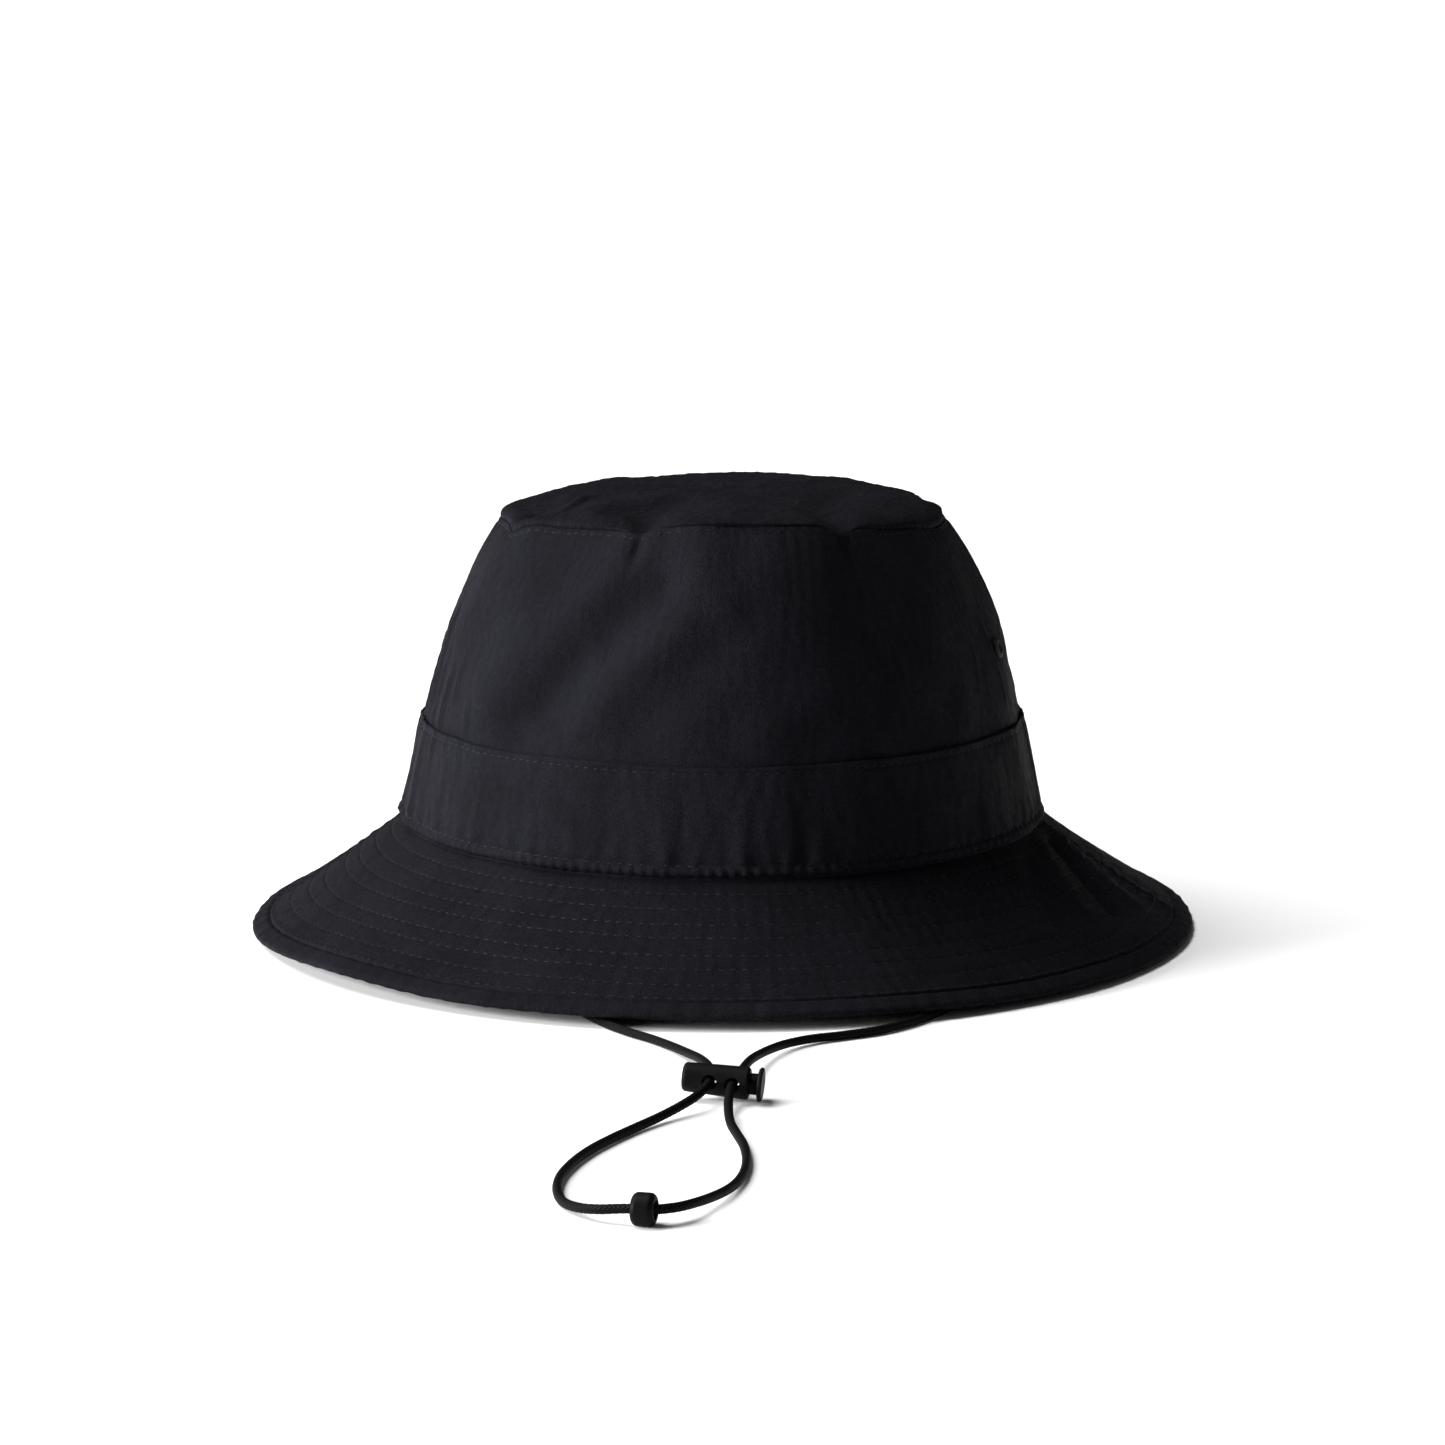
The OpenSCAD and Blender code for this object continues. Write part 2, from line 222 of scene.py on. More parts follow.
def bumps(tree, shader, layers):
    """Stacks bump nodes; each layer is (height socket, strength, distance in metres)."""
    normal = None
    for height, strength, distance in layers:
        node = tree.nodes.new("ShaderNodeBump")
        node.inputs["Strength"].default_value = strength
        node.inputs["Distance"].default_value = distance
        link(tree, height, node.inputs["Height"])
        if normal:
            link(tree, normal, node.inputs["Normal"])
        normal = node.outputs["Normal"]
    link(tree, normal, shader.inputs["Normal"])


def cloth_material(name, dark, light, streak, grain=1.0, rough=(0.55, 0.75), shine=0.22):
    """Crinkled nylon: streak is the size in mm, along and across, of its fine crinkles."""
    mat, tree, shader = new_material(name, rough[1], shine, 1.22)
    fine = noise(tree, cloth_coords(tree, (1 / streak[0], 1 / streak[1], 1)), 5, 0.65, 0.4)
    weave = noise(tree, cloth_coords(tree, (1.6 * grain, 1.3 * grain, 1)), 4, 0.8)
    slub = noise(tree, cloth_coords(tree, (0.8, 0.1, 1)), 3, 0.6)
    patch = noise(tree, cloth_coords(tree, (0.05, 0.04, 1)), 3, 0.6, 0.6)
    tint = ramp(tree, patch, [(0.35, light), (0.65, tuple(0.92 * c for c in dark))])
    mottle = ramp(tree, weave, [(0.34, (0.2, 0.2, 0.22)), (0.66, (1.85, 1.85, 1.9))])
    streaks = ramp(tree, slub, [(0.3, (0.78, 0.78, 0.80)), (0.7, (1.22, 1.22, 1.24))])
    colour = mix(tree, "MULTIPLY", 1.0, tint, mottle)
    colour = mix(tree, "MULTIPLY", 0.8, colour, streaks)
    link(tree, colour, shader.inputs["Base Color"])
    link(tree, to_range(tree, fine, *rough), shader.inputs["Roughness"])
    shader.inputs["Specular Tint"].default_value = (0.86, 0.86, 1.0, 1)
    bumps(tree, shader, [(fine, 0.45, 0.0004), (weave, 1.0, 0.0005)])
    return mat


def thread_material(name, colour):
    """Twisted polyester thread."""
    mat, tree, shader = new_material(name, 0.42, 0.3, 1.3)
    ply = bands(tree, cloth_coords(tree, (1, 1, 1)), 0.9, 1.5)
    shade = ramp(tree, ply, [(0.2, tuple(0.5 * c for c in colour)), (0.8, colour)])
    link(tree, shade, shader.inputs["Base Color"])
    bumps(tree, shader, [(ply, 0.4, 0.0001)])
    return mat


def tape_material(name, dark, light, rib):
    """Woven tape or twill, with ribs across its length."""
    mat, tree, shader = new_material(name, 0.8, 0.25)
    weave = bands(tree, cloth_coords(tree, (1, 1, 1)), rib, 0.6)
    fibre = noise(tree, cloth_coords(tree, (1.7, 1.7, 1)), 3)
    base = ramp(tree, weave, [(0.25, dark), (0.75, light)])
    shade = ramp(tree, fibre, [(0.3, (0.75, 0.75, 0.75)), (0.7, (1.2, 1.2, 1.2))])
    link(tree, mix(tree, "MULTIPLY", 0.9, base, shade), shader.inputs["Base Color"])
    link(tree, to_range(tree, fibre, 0.7, 0.9), shader.inputs["Roughness"])
    bumps(tree, shader, [(weave, 0.5, 0.0002), (fibre, 0.3, 0.0002)])
    return mat


def cord_material(name):
    """Braided elastic cord: cloth holds the place around and along the cord, in millimetres."""
    mat, tree, shader = new_material(name, 0.5, 0.12, 1.3)
    layers = [bands(tree, cloth_coords(tree, (sign, 1, 1)), 0.55) for sign in (1, -1)]
    fibre = noise(tree, cloth_coords(tree, (2.5, 1.1, 1)), 4)
    base = ramp(tree, fibre, [(0.3, (0.0006, 0.0006, 0.0008)), (0.7, (0.0024, 0.0024, 0.0030))])
    link(tree, base, shader.inputs["Base Color"])
    link(tree, to_range(tree, fibre, 0.42, 0.62), shader.inputs["Roughness"])
    bumps(tree, shader, [(layers[0], 0.5, 0.0002), (layers[1], 0.5, 0.0002), (fibre, 0.3, 0.0001)])
    return mat


def moulded_material(name, colour):
    """Satin moulded plastic with a fine spark-eroded grain, a little paler at its sharp convex edges."""
    mat, tree, shader = new_material(name, 0.5, 0.15, 1.25)
    grain = object_noise(tree, 2600, 3)
    patch = object_noise(tree, 160)
    convexity = tree.nodes.new("ShaderNodeNewGeometry")
    # Paler where the surface is sharply convex.
    edge = ramp(tree, convexity.outputs["Pointiness"], [(0.49, colour), (0.56, tuple(2.2 * c for c in colour))])
    tone = ramp(tree, patch, [(0.3, (0.8, 0.8, 0.8)), (0.7, (1.2, 1.2, 1.2))])
    link(tree, mix(tree, "MULTIPLY", 1.0, edge, tone), shader.inputs["Base Color"])
    link(tree, to_range(tree, patch, 0.44, 0.58), shader.inputs["Roughness"])
    bumps(tree, shader, [(grain, 0.25, 0.0001)])
    return mat


def steel_material(name):
    """Bright drawn wire."""
    mat, tree, shader = new_material(name, 0.3)
    shader.inputs["Metallic"].default_value = 1
    drawn = object_noise(tree, 1500)
    shade = ramp(tree, drawn, [(0.3, (0.45, 0.45, 0.46)), (0.7, (0.62, 0.62, 0.63))])
    link(tree, shade, shader.inputs["Base Color"])
    link(tree, to_range(tree, drawn, 0.25, 0.4), shader.inputs["Roughness"])
    return mat


SHELL = cloth_material("shell_nylon", (0.0034, 0.0034, 0.0050), (0.0050, 0.0050, 0.0070), (1.8, 2.6))
BAND = cloth_material("band_nylon", (0.0035, 0.0035, 0.0050), (0.0053, 0.0053, 0.0074), (1.8, 2.8))
BRIM = cloth_material(
    "brim_nylon", (0.0030, 0.0030, 0.0042), (0.0043, 0.0043, 0.0058), (3.2, 2.2), 1.1, shine=0.19,
)
# The tip's nylon is the shell nylon with its colour a little darker, as painted shade on the top of the hat,
# and with a rougher, duller finish of its own.
TIP_SHADED = cloth_material(
    "tip_nylon_shaded", (0.0033, 0.0033, 0.0046), (0.0049, 0.0049, 0.0067), (2.2, 2.6), rough=(0.6, 0.8), shine=0.17,
)
THREAD = thread_material("thread", (0.0105, 0.0105, 0.0130))
TAPE = tape_material("seam_tape", (0.006, 0.006, 0.007), (0.016, 0.016, 0.019), 1.2)
TWILL = tape_material("sweatband_twill", (0.007, 0.007, 0.009), (0.018, 0.018, 0.022), 0.8)
LINING = tape_material("interlining_felt", (0.22, 0.22, 0.22), (0.34, 0.34, 0.33), 0.3)
SATIN = tape_material("label_satin", (0.55, 0.55, 0.53), (0.72, 0.72, 0.70), 1.6)
CORD = cord_material("elastic_braid")
PLASTIC = moulded_material("moulded_black", (0.0018, 0.0018, 0.0019))
STEEL = steel_material("spring_wire")


# --- Mesh making ---

def add_mesh(name, points, quads, material, cloth=None, extra=()):
    """A smooth mesh from points in mm, quads, and other faces in extra. cloth is stored on its points."""
    mesh = bpy.data.meshes.new(name)
    faces = [tuple(q) for q in quads.tolist()] + [tuple(f) for f in extra]
    mesh.from_pydata((points * MM).tolist(), [], faces)
    mesh.update()
    if cloth is not None:
        attr = mesh.attributes.new("cloth", "FLOAT_VECTOR", "POINT")
        values = np.zeros((len(points), 3), np.float32)
        values[:, :cloth.shape[1]] = cloth
        attr.data.foreach_set("vector", values.ravel())
    mesh.shade_smooth()
    obj = bpy.data.objects.new(name, mesh)
    bpy.context.collection.objects.link(obj)
    mesh.materials.append(material)
    return obj


def grid_quads(rows, cols, wrap_rows=False, wrap_cols=True):
    """Quads between rows of points, where each row has cols points."""
    i = np.arange(rows if wrap_rows else rows - 1)
    j = np.arange(cols if wrap_cols else cols - 1)
    i, j = [a.ravel() for a in np.meshgrid(i, j, indexing="ij")]
    a = i * cols + j
    b = i * cols + (j + 1) % cols
    c = ((i + 1) % rows) * cols + (j + 1) % cols
    d = ((i + 1) % rows) * cols + j
    return np.stack([a, b, c, d], 1)


def outward(points, quads):
    """Turns the quads over if they enclose a negative volume."""
    a, b, c, d = [points[quads[:, k]] for k in range(4)]
    volume = np.einsum("ij,ij->i", a, np.cross(b, c)).sum() + np.einsum("ij,ij->i", a, np.cross(c, d)).sum()
    return quads if volume > 0 else quads[:, ::-1]


def add_tube(name, rings, material, cloth):
    """A tube with closed ends, through rings of points in mm."""
    count, sides = rings.shape[:2]
    points = rings.reshape(-1, 3)
    last = (count - 1) * sides
    caps = [range(sides), range(last, last + sides)]
    return add_mesh(name, points, outward(points, grid_quads(count, sides)), material, cloth, caps)


# --- Noise and creases ---

def unit(v):
    return v / np.linalg.norm(v, axis=-1, keepdims=True)


def smooth(x):
    x = np.clip(x, 0, 1)
    return x * x * (3 - 2 * x)


def bell(x, width):
    return np.exp(-(x / width) ** 2)


def ripple(seed, theta, v, wave_x, wave_y, n=24, girth=585):
    """Noise that joins up around the hat; wave_x and wave_y are the ranges of its wavelengths in mm."""
    rng = np.random.default_rng(seed)
    total = np.zeros(np.broadcast(theta, v).shape)
    for _ in range(n):
        cycles = max(1, round(girth / rng.uniform(*wave_x)))
        along = 2 * np.pi / rng.uniform(*wave_y) * rng.choice((-1, 1))
        phase = rng.uniform(0, 2 * np.pi)
        total += np.cos(cycles * theta + along * v + phase)
    return total / np.sqrt(n / 2)


def distance(x, y, path):
    """Distance from points to an open line through path."""
    best = np.full(np.broadcast(x, y).shape, 1e9)
    for (ax, ay), (bx, by) in zip(path[:-1], path[1:]):
        length2 = (bx - ax) ** 2 + (by - ay) ** 2
        t = np.clip(((x - ax) * (bx - ax) + (y - ay) * (by - ay)) / length2, 0, 1)
        best = np.minimum(best, np.hypot(x - ax - t * (bx - ax), y - ay - t * (by - ay)))
    return best


def degrees_from_back(theta):
    """Angle in degrees from -270 to 90, so that the front half has no break."""
    return (np.degrees(theta) + 270) % 360 - 270


def wall_crease(theta, h, path, height, width):
    """A soft ridge or valley along a path of (angle in degrees, height above the brim seam)."""
    line = [(a * WALL_MM_PER_DEG, b) for a, b in path]
    return height * bell(distance(degrees_from_back(theta) * WALL_MM_PER_DEG, h, line), width)


# --- The surfaces: functions of the angle and a place v along the profile ---

def oval(r, z, theta):
    return np.stack([r * np.cos(theta), OVAL * r * np.sin(theta), z], -1)


def seam_height(theta):
    """Height of the tip seam above the brim seam: high at the front and back, with a raised corner
    at each side, a notch beside the left one and two small dips along the front."""
    x = degrees_from_back(theta)
    rise = np.where(x < 0, SEAM_FRONT_RISE, SEAM_BACK_RISE)
    rise = np.where(x < -180, SEAM_BACK_RISE, rise)
    height = SEAM_LOW + rise * np.abs(np.sin(theta)) + 1.9 * np.maximum(0, np.cos(theta))
    height += 3.2 * bell(x + 175, 18) + 3.2 * bell(x - 185, 18) + 2.7 * bell(x - 3, 10)
    return height - 2.4 * bell(x + 148, 5.5) - 1.3 * bell(x + 107, 5) - 1.4 * bell(x + 50, 5)


def wall_radius(h):
    t = h / CROWN_H
    return ROOT_R - TAPER * t - ROUND_IN * t ** 4


def wall_base(theta, h):
    return oval(wall_radius(h), ROOT_Z + h, theta)


def dome_base(theta, u):
    rim = ROOT_Z + seam_height(theta) + 0.25
    edge = wall_radius(seam_height(theta)) - 0.2
    rise = (DOME_Z - rim) * np.clip(1 - u * u, 1e-9, 1) ** DOME_POWER
    below = np.clip(u - 1, 0, 1)
    return oval(edge * np.minimum(u, 1) - 9 * below, rim + rise - 22 * below, theta)


def brim_slope(s):
    return SLOPE_ROOT - SLOPE_RATE * s


def brim_radius(s):
    return ROOT_R + 0.3 + (np.sin(SLOPE_ROOT) - np.sin(brim_slope(s))) / SLOPE_RATE


def brim_base(theta, s):
    z = ROOT_Z - (np.cos(brim_slope(s)) - np.cos(SLOPE_ROOT)) / SLOPE_RATE
    up = np.maximum(0, -np.sin(theta))
    share = np.clip(s / BRIM_LEN, 0, 2) ** 1.5
    return oval(brim_radius(s), z + FRONT_LIFT * up ** 2 * (2 - up ** 2) * share, theta)


def normals(base, flip, theta, v, dv):
    across = base(theta + 1e-3, v) - base(theta - 1e-3, v)
    along = base(theta, v + dv) - base(theta, v - dv)
    n = np.cross(across, along) * flip
    return n / np.maximum(np.linalg.norm(n, axis=-1, keepdims=True), 1e-12)


def wall_point(theta, h, depth):
    return wall_base(theta, h) - normals(wall_base, 1, theta, h, 0.1) * depth[..., None]


def brim_point(theta, s, depth):
    points = brim_base(theta, s) - normals(brim_base, -1, theta, s, 0.1) * depth[..., None]
    points[..., 2] = np.maximum(points[..., 2], FLOOR_GAP)
    return points


def squeezed(s, depth):
    """Depth in the brim, whose layers are pressed together towards the bound edge."""
    middle = BRIM_T / 2
    return middle + (depth - middle) * (1 - EDGE_SQUEEZE * smooth((s - 45) / 7))


def dome_point(theta, u, depth):
    steep = np.clip(u, 0.02, 0.985)
    return dome_base(theta, u) - normals(dome_base, -1, theta, steep, 0.01) * depth[..., None]


# --- The folds ---

def wall_folds(theta, h):
    """Broad folds shared by every layer of the crown wall, in mm outwards."""
    x = degrees_from_back(theta)
    high = smooth((h - 24) / 30)
    fold = 0.75 * ripple(3, theta, h, (60, 140), (60, 200)) * high
    fold += 0.18 * ripple(4, theta, h, (22, 50), (30, 70)) * (0.35 + 0.65 * high)
    for path, height, width in (
        ([(-98, 78), (-107, 71), (-114, 62), (-120, 50), (-126, 38)], -3.6, 7.5),
        ([(-112, 80), (-126, 66), (-135, 48)], 1.8, 9),
        ([(-93, 68), (-100, 59), (-107, 49), (-112, 40)], 1.2, 6.5),
        ([(-78, 72), (-84, 62), (-92, 52), (-99, 44)], -1.0, 6.5),
        ([(-62, 52), (-76, 40)], 0.8, 7),
        ([(-8, 78), (-18, 56), (-24, 34)], -1.3, 8),
        ([(-52, 84), (-46, 66), (-34, 46)], -1.0, 8),
        ([(60, 88), (72, 58), (66, 36)], -1.6, 10),
        ([(34, 86), (44, 60), (40, 38)], 0.9, 10),
        ([(-262, 86), (-246, 60), (-252, 38)], -1.5, 10),
    ):
        fold += wall_crease(theta, h, path, height, width)
    below = seam_height(theta) - h
    for place, depth, width in ((-106, 1.7, 2.8), (-50, 1.3, 2.8), (62, 1.3, 3.4), (-240, 1.3, 3.4)):
        fold -= depth * bell((x - place) * WALL_MM_PER_DEG, width) * bell(below - 3.5, 4.5)
    side = bell(x * WALL_MM_PER_DEG, 1.3) + bell((x + 180) * WALL_MM_PER_DEG, 1.3)
    fold -= 0.45 * side * smooth((h - 2) / 4)
    flare = bell(x + 172, 16) + 0.6 * bell(x + 6, 14)
    return fold + 1.1 * flare * np.exp(-np.maximum(h, 0) / 7)


def upright_creases(theta, h):
    """Narrow upright creases towards the left, and fainter ones elsewhere."""
    crease = 0
    for a, top, low, height in (
        (-176, 70, 20, 0.7), (-170, 66, 14, 0.6), (-164.5, 72, 26, 0.75), (-159, 60, 10, 0.55),
        (-153, 56, 22, 0.6), (-147.5, 62, 34, 0.45), (-141, 50, 24, 0.4), (-12, 70, 30, 0.5),
        (-21, 64, 36, 0.4), (9, 72, 30, 0.5), (24, 60, 26, 0.5), (120, 66, 30, 0.5), (150, 60, 22, 0.5),
    ):
        lean = 1.5 * np.sin(h / 9 + a)
        x = (degrees_from_back(theta) - a) * WALL_MM_PER_DEG + lean
        x = (x + 257.4) % 514.8 - 257.4
        span = smooth((h - low) / 14) * smooth((top - h) / 14)
        crease = crease + height * (bell(x, 1.1) - 0.6 * bell(x - 2.4, 1.7)) * span
    return crease


def crinkle(seed, theta, v, amount, streak=(2.4, 8), along=(8, 30)):
    """Fine crinkles of the nylon, and thin sharp lines where it has been creased."""
    fine = ripple(seed, theta, v, streak, along, 40)
    lines = np.abs(ripple(seed + 1, theta, v, (18, 60), (18, 60), 14))
    return amount * fine - 1.6 * amount * np.exp(-lines * 9)


def wall_arc(theta, h):
    """Distance around the wall in mm, near enough for stitch spacing."""
    return theta * wall_radius(h) * (1 + OVAL) / 2


def crown_cloth(theta, h, depth):
    """The side panels: folds, crinkles and the pull of the tip seam's stitching."""
    top = seam_height(theta) - h
    shown = smooth((h - BAND_TOP + 3) / 4)
    relief = upright_creases(theta, h) + crinkle(11, theta, h, 0.034, (2.6, 7), (3, 8))
    relief += 0.03 * ripple(14, theta, h, (2.4, 6), (14, 50), 36)
    relief -= 0.3 * bell(top - SEAM_STITCH, 0.7)
    puckers = np.cos(wall_arc(theta, h) * 2 * np.pi / PITCH)
    relief += 0.07 * puckers * bell(top - SEAM_STITCH, 1.6)
    relief += 0.05 * ripple(17, theta, h, (4, 9), (20, 60), 16) * bell(top - 2, 5)
    left = degrees_from_back(theta)
    recess = smooth((-143 - left) / 4) * smooth((left + 205) / 12) * smooth((h - 70) / 10)
    return wall_folds(theta, h) + relief * shown + 0.25 * recess - depth


def dome_cloth(theta, u, depth):
    """The tip panel: a pressed-in left side, two pale creases, broad dents and fine crinkles."""
    p = dome_base(theta, u)
    x, y = p[..., 0], p[..., 1]
    inside = smooth((1 - u) / 0.12)
    line = np.interp(y, [-46, -29, 50], [-44, -43, -49])
    recess = -1.5 * smooth((line - x) / 7) * smooth((16 - y) / 26)
    fold = (recess - 0.6 * smooth((x - 57) / 7)) * inside
    short = 0.95 * smooth((20 - np.abs(y + 24)) / 12)
    fold += short * bell(distance(x, y, [(-38, -6), (-41, -20), (-44, -38), (-50, -42)]), 1.7)
    long = (0.85 + 0.25 * np.cos(x / 9 + 0.7)) * smooth((50 - np.abs(x + 5)) / 22)
    path = [(44, 16), (34, 11.5), (24, 9), (8, 8.2), (-6, 10), (-24, 14.2), (-40, 16.6), (-54, 15)]
    fold += long * bell(distance(x, y, path), 1.9)
    for path, height, width in (
        ([(56, 18), (62, -15)], 0.4, 2.4),
        ([(-16, -58), (-18, -40), (-10, -18)], -1.3, 7),
        ([(40, -50), (32, -30), (34, 0)], -1.1, 7),
        ([(10, -56), (4, -30), (14, -6)], 0.8, 7),
        ([(-34, -46), (-32, -26)], 0.8, 6),
    ):
        fold += height * bell(distance(x, y, path), width)
    wide = np.cos(x / 11 + 1.3) * np.cos(y / 14 + 0.4) + 0.6 * np.cos(x / 6.5 - y / 9)
    fold += 0.28 * wide * inside
    rng = np.random.default_rng(23)
    fine = 0
    for _ in range(46):
        across, along = 2 * np.pi / rng.uniform(3, 9), 2 * np.pi / rng.uniform(4, 22)
        fine = fine + np.cos(across * x + along * y * rng.choice((-1, 1)) + rng.uniform(0, 6.28))
    for _ in range(3):
        turn, space = rng.uniform(0, 3.1), rng.uniform(19, 30)
        wave = np.cos((x * np.cos(turn) + y * np.sin(turn)) * 2 * np.pi / space + rng.uniform(0, 6.28))
        fold = fold + 0.18 * np.exp(-np.abs(wave + 0.3 * np.cos(x / 7 + y / 5)) * 6)
    fold += 0.03 * fine / np.sqrt(23) * inside
    for place, depth_in in ((-106, 0.8), (-50, 0.7), (62, 0.8), (-240, 0.8)):
        ahead = bell((degrees_from_back(theta) - place) * 1.15, 4.5)
        fold -= depth_in * ahead * smooth((u - 0.72) / 0.2)
    return fold - depth


def band_cloth(theta, h, depth):
    """The folded band: its two topstitched rows, the puckers under the lower one and folds above it."""
    arc = wall_arc(theta, 4)
    low = BAND_LOW_ROW
    rough = ripple(31, theta, h, (3.1, 3.7), (300, 900), 10)
    pucker = 0.17 * (rough + 0.6 * np.cos(arc * 2 * np.pi / PITCH)) * bell(h - 1.8, 2.2)
    folds = ripple(32, theta, h, (6, 13), (60, 200), 22)
    gather = 0.30 * folds * smooth((h - 3.2) / 2) * np.exp(-np.maximum(h - 5, 0) / 8)
    wide = 0.22 * ripple(33, theta, h, (20, 45), (50, 160), 14)
    ditch = -0.36 * bell(h - low, 0.75) - 0.26 * bell(h - BAND_TOP_ROW, 0.6)
    holes = -0.14 * np.cos(arc * 2 * np.pi / PITCH) * bell(h - low, 0.7)
    fine = crinkle(34, theta, h, 0.045) + 0.55 * upright_creases(theta, np.minimum(h + 8, 40))
    roll = 0.4 * bell(h - 2.4, 1.5) - 1.3 * smooth((1.7 - h) / 1.3)
    wall = wall_folds(theta, h) + roll + 0.10 * np.maximum(0, pucker)
    face = pucker + gather + wide + ditch + holes + fine
    return wall + face * smooth((0.8 - depth) / 0.5) - depth


def band_edge(theta):
    """How far the band's top edge wanders, in mm."""
    left = degrees_from_back(theta)
    return 0.10 * ripple(36, theta, 0 * theta, (50, 160), (50, 90), 8) + 0.4 * bell(left + 144, 5)


def quilt(s, rows):
    """Puffed height between neighbouring rows of stitches, 0 at each row and 1 between them."""
    edges = np.array(rows)
    k = np.clip(np.searchsorted(edges, s) - 1, 0, len(edges) - 2)
    t = np.clip((s - edges[k]) / (edges[k + 1] - edges[k]), 0, 1)
    return np.sin(np.pi * t) ** 0.55


def brim_crease(x, s, path, height, width):
    """A soft ridge or valley along a path of (angle in degrees, distance along the brim's slope)."""
    line = [(BRIM_MM_PER_DEG * a, b) for a, b in path]
    return height * bell(distance(BRIM_MM_PER_DEG * x, s, line), width)


def brim_sway(theta, s):
    """Broad lift and droop of the whole brim, in mm."""
    x = degrees_from_back(theta)
    out = smooth(s / BRIM_LEN)
    sway = 1.9 * bell(x + 138, 17) - 0.9 * bell(x + 47, 13) - 0.5 * bell(x + 170, 14)
    sway += 0.5 * ripple(41, theta, s, (110, 260), (200, 400), 8)
    front = 1 - bell(x + 84, 24)
    sway = sway * (0.25 + 0.75 * front)
    sway += brim_crease(x, s, [(-100, 8), (-104, 40)], 0.4, 8)
    pinch = 0
    for path, height, width in (
        ([(-6.5, 8), (-10.5, 18), (-13.5, 27), (-15.5, 34)], -2.5, 3.0),
        ([(-1, 6), (-4, 18), (-7, 30), (-8, 38)], 1.0, 3.6),
        ([(-12, 5), (-17, 14), (-22, 27)], 0.8, 4),
        ([(-22, 9), (-27, 18), (-30, 32)], -0.8, 3.5),
    ):
        pinch += brim_crease(x, s, path, height, width)
    wide = 0.07 * ripple(42, theta, s, (24, 60), (60, 200), 14) * smooth(s / 8)
    return sway * out + pinch * smooth(s / 6) + wide


def brim_arc(theta, s):
    """Distance around the brim in mm at a row."""
    return theta * brim_radius(s) * (1 + OVAL) / 2


def brim_relief(theta, s, side):
    """Quilting of the brim's cloth; side seeds its puckers."""
    rows = (0, *BRIM_ROWS, SEAM_ROW)
    puff = 0.09 * quilt(s, rows)
    near = np.abs(s[..., None] - np.array(rows[1:])).min(-1)
    tug = 0.055 * ripple(50 + side, theta, s, (3.2, 6), (30, 90), 26, 740) * bell(near - 0.9, 1.6)
    drag = 0.05 * ripple(52 + side, theta, s, (6, 14), (10, 30), 26, 740) * np.sqrt(np.abs(puff) + 0.05)
    fine = crinkle(54 + side, theta, s, 0.03, (5, 14), (4, 12))
    pits = 0.75 - 0.25 * np.cos(brim_arc(theta, s) * 2 * np.pi / PITCH)
    ditch = -0.24 * pits * bell(near, 0.36)
    return np.maximum(puff + tug + drag + fine + ditch + side_seam(theta, s), -0.55)


def side_seam(theta, s):
    """The brim's two side seams: a wavering ditch with a puckered ridge each side of it."""
    x = degrees_from_back(theta)
    relief = 0
    for place in (0, -180):
        off = (x - place) * BRIM_MM_PER_DEG + 0.5 * np.sin(s / 2.3) + 0.4 * np.sin(s / 1.1 + place)
        pucker = np.sin(s * 1.45 + 1.2 * np.sin(s / 4))
        relief = relief - 0.9 * bell(off, 0.9) + 0.35 * (1 + 0.8 * pucker) * bell(np.abs(off) - 2.4, 1.5)
    return relief


def brim_top_cloth(theta, s, depth):
    relief = brim_relief(theta, s, 0)
    relief += 0.45 * bell(s - (BINDING_S - 0.8), 0.6) - 0.8 * smooth((s - BINDING_S + 0.3) / 0.7)
    fade = smooth((s - 0.3) / 1.5) * smooth((BINDING_S + 1.6 - s) / 1.5)
    return brim_sway(theta, s) + relief * fade - squeezed(s, depth)


def brim_inner_cloth(theta, s, depth):
    return brim_sway(theta, s) - squeezed(s, depth)


def brim_under_cloth(theta, s, depth):
    relief = brim_relief(theta, s, 7)
    fade = smooth((s - 0.3) / 1.5) * smooth((BINDING_S + 1.6 - s) / 1.5)
    face = smooth((depth - BRIM_T + 0.25) / 0.2)
    return brim_sway(theta, s) - relief * fade * face - squeezed(s, depth)


def binding_cloth(theta, s, depth):
    """The bound edge: faint ridges across it, and its inner edge tucked down into the seam."""
    top = smooth((1 - depth) / 0.8)
    under = 1 - top
    ridges = 0.10 * ripple(61, theta, s, (4, 11), (60, 200), 26, 860)
    ridges += 0.05 * np.abs(ripple(62, theta, s, (9, 20), (20, 60), 14, 860))
    tuck = 0.75 * bell(s - BINDING_S, 0.9)
    ditch = 0.22 * bell(s - BINDING_S - 1.7, 0.6) * under
    roll = 0.12 * bell(s - 52, 2)
    outer = ridges + roll - tuck
    return brim_sway(theta, s) + outer * top - (ridges + roll - ditch) * under - squeezed(s, depth)


def plain_wall(theta, h, depth):
    return wall_folds(theta, h) - depth


def sweat_cloth(theta, h, depth):
    """The sweatband, eased in with small waves along its free upper edge."""
    free = smooth((h - 10) / 22)
    wave = 0.22 * ripple(71, theta, h, (16, 40), (60, 160), 16) * free
    return wall_folds(theta, h) + np.minimum(wave, 0.12) - depth


# --- Shells swept around the hat ---

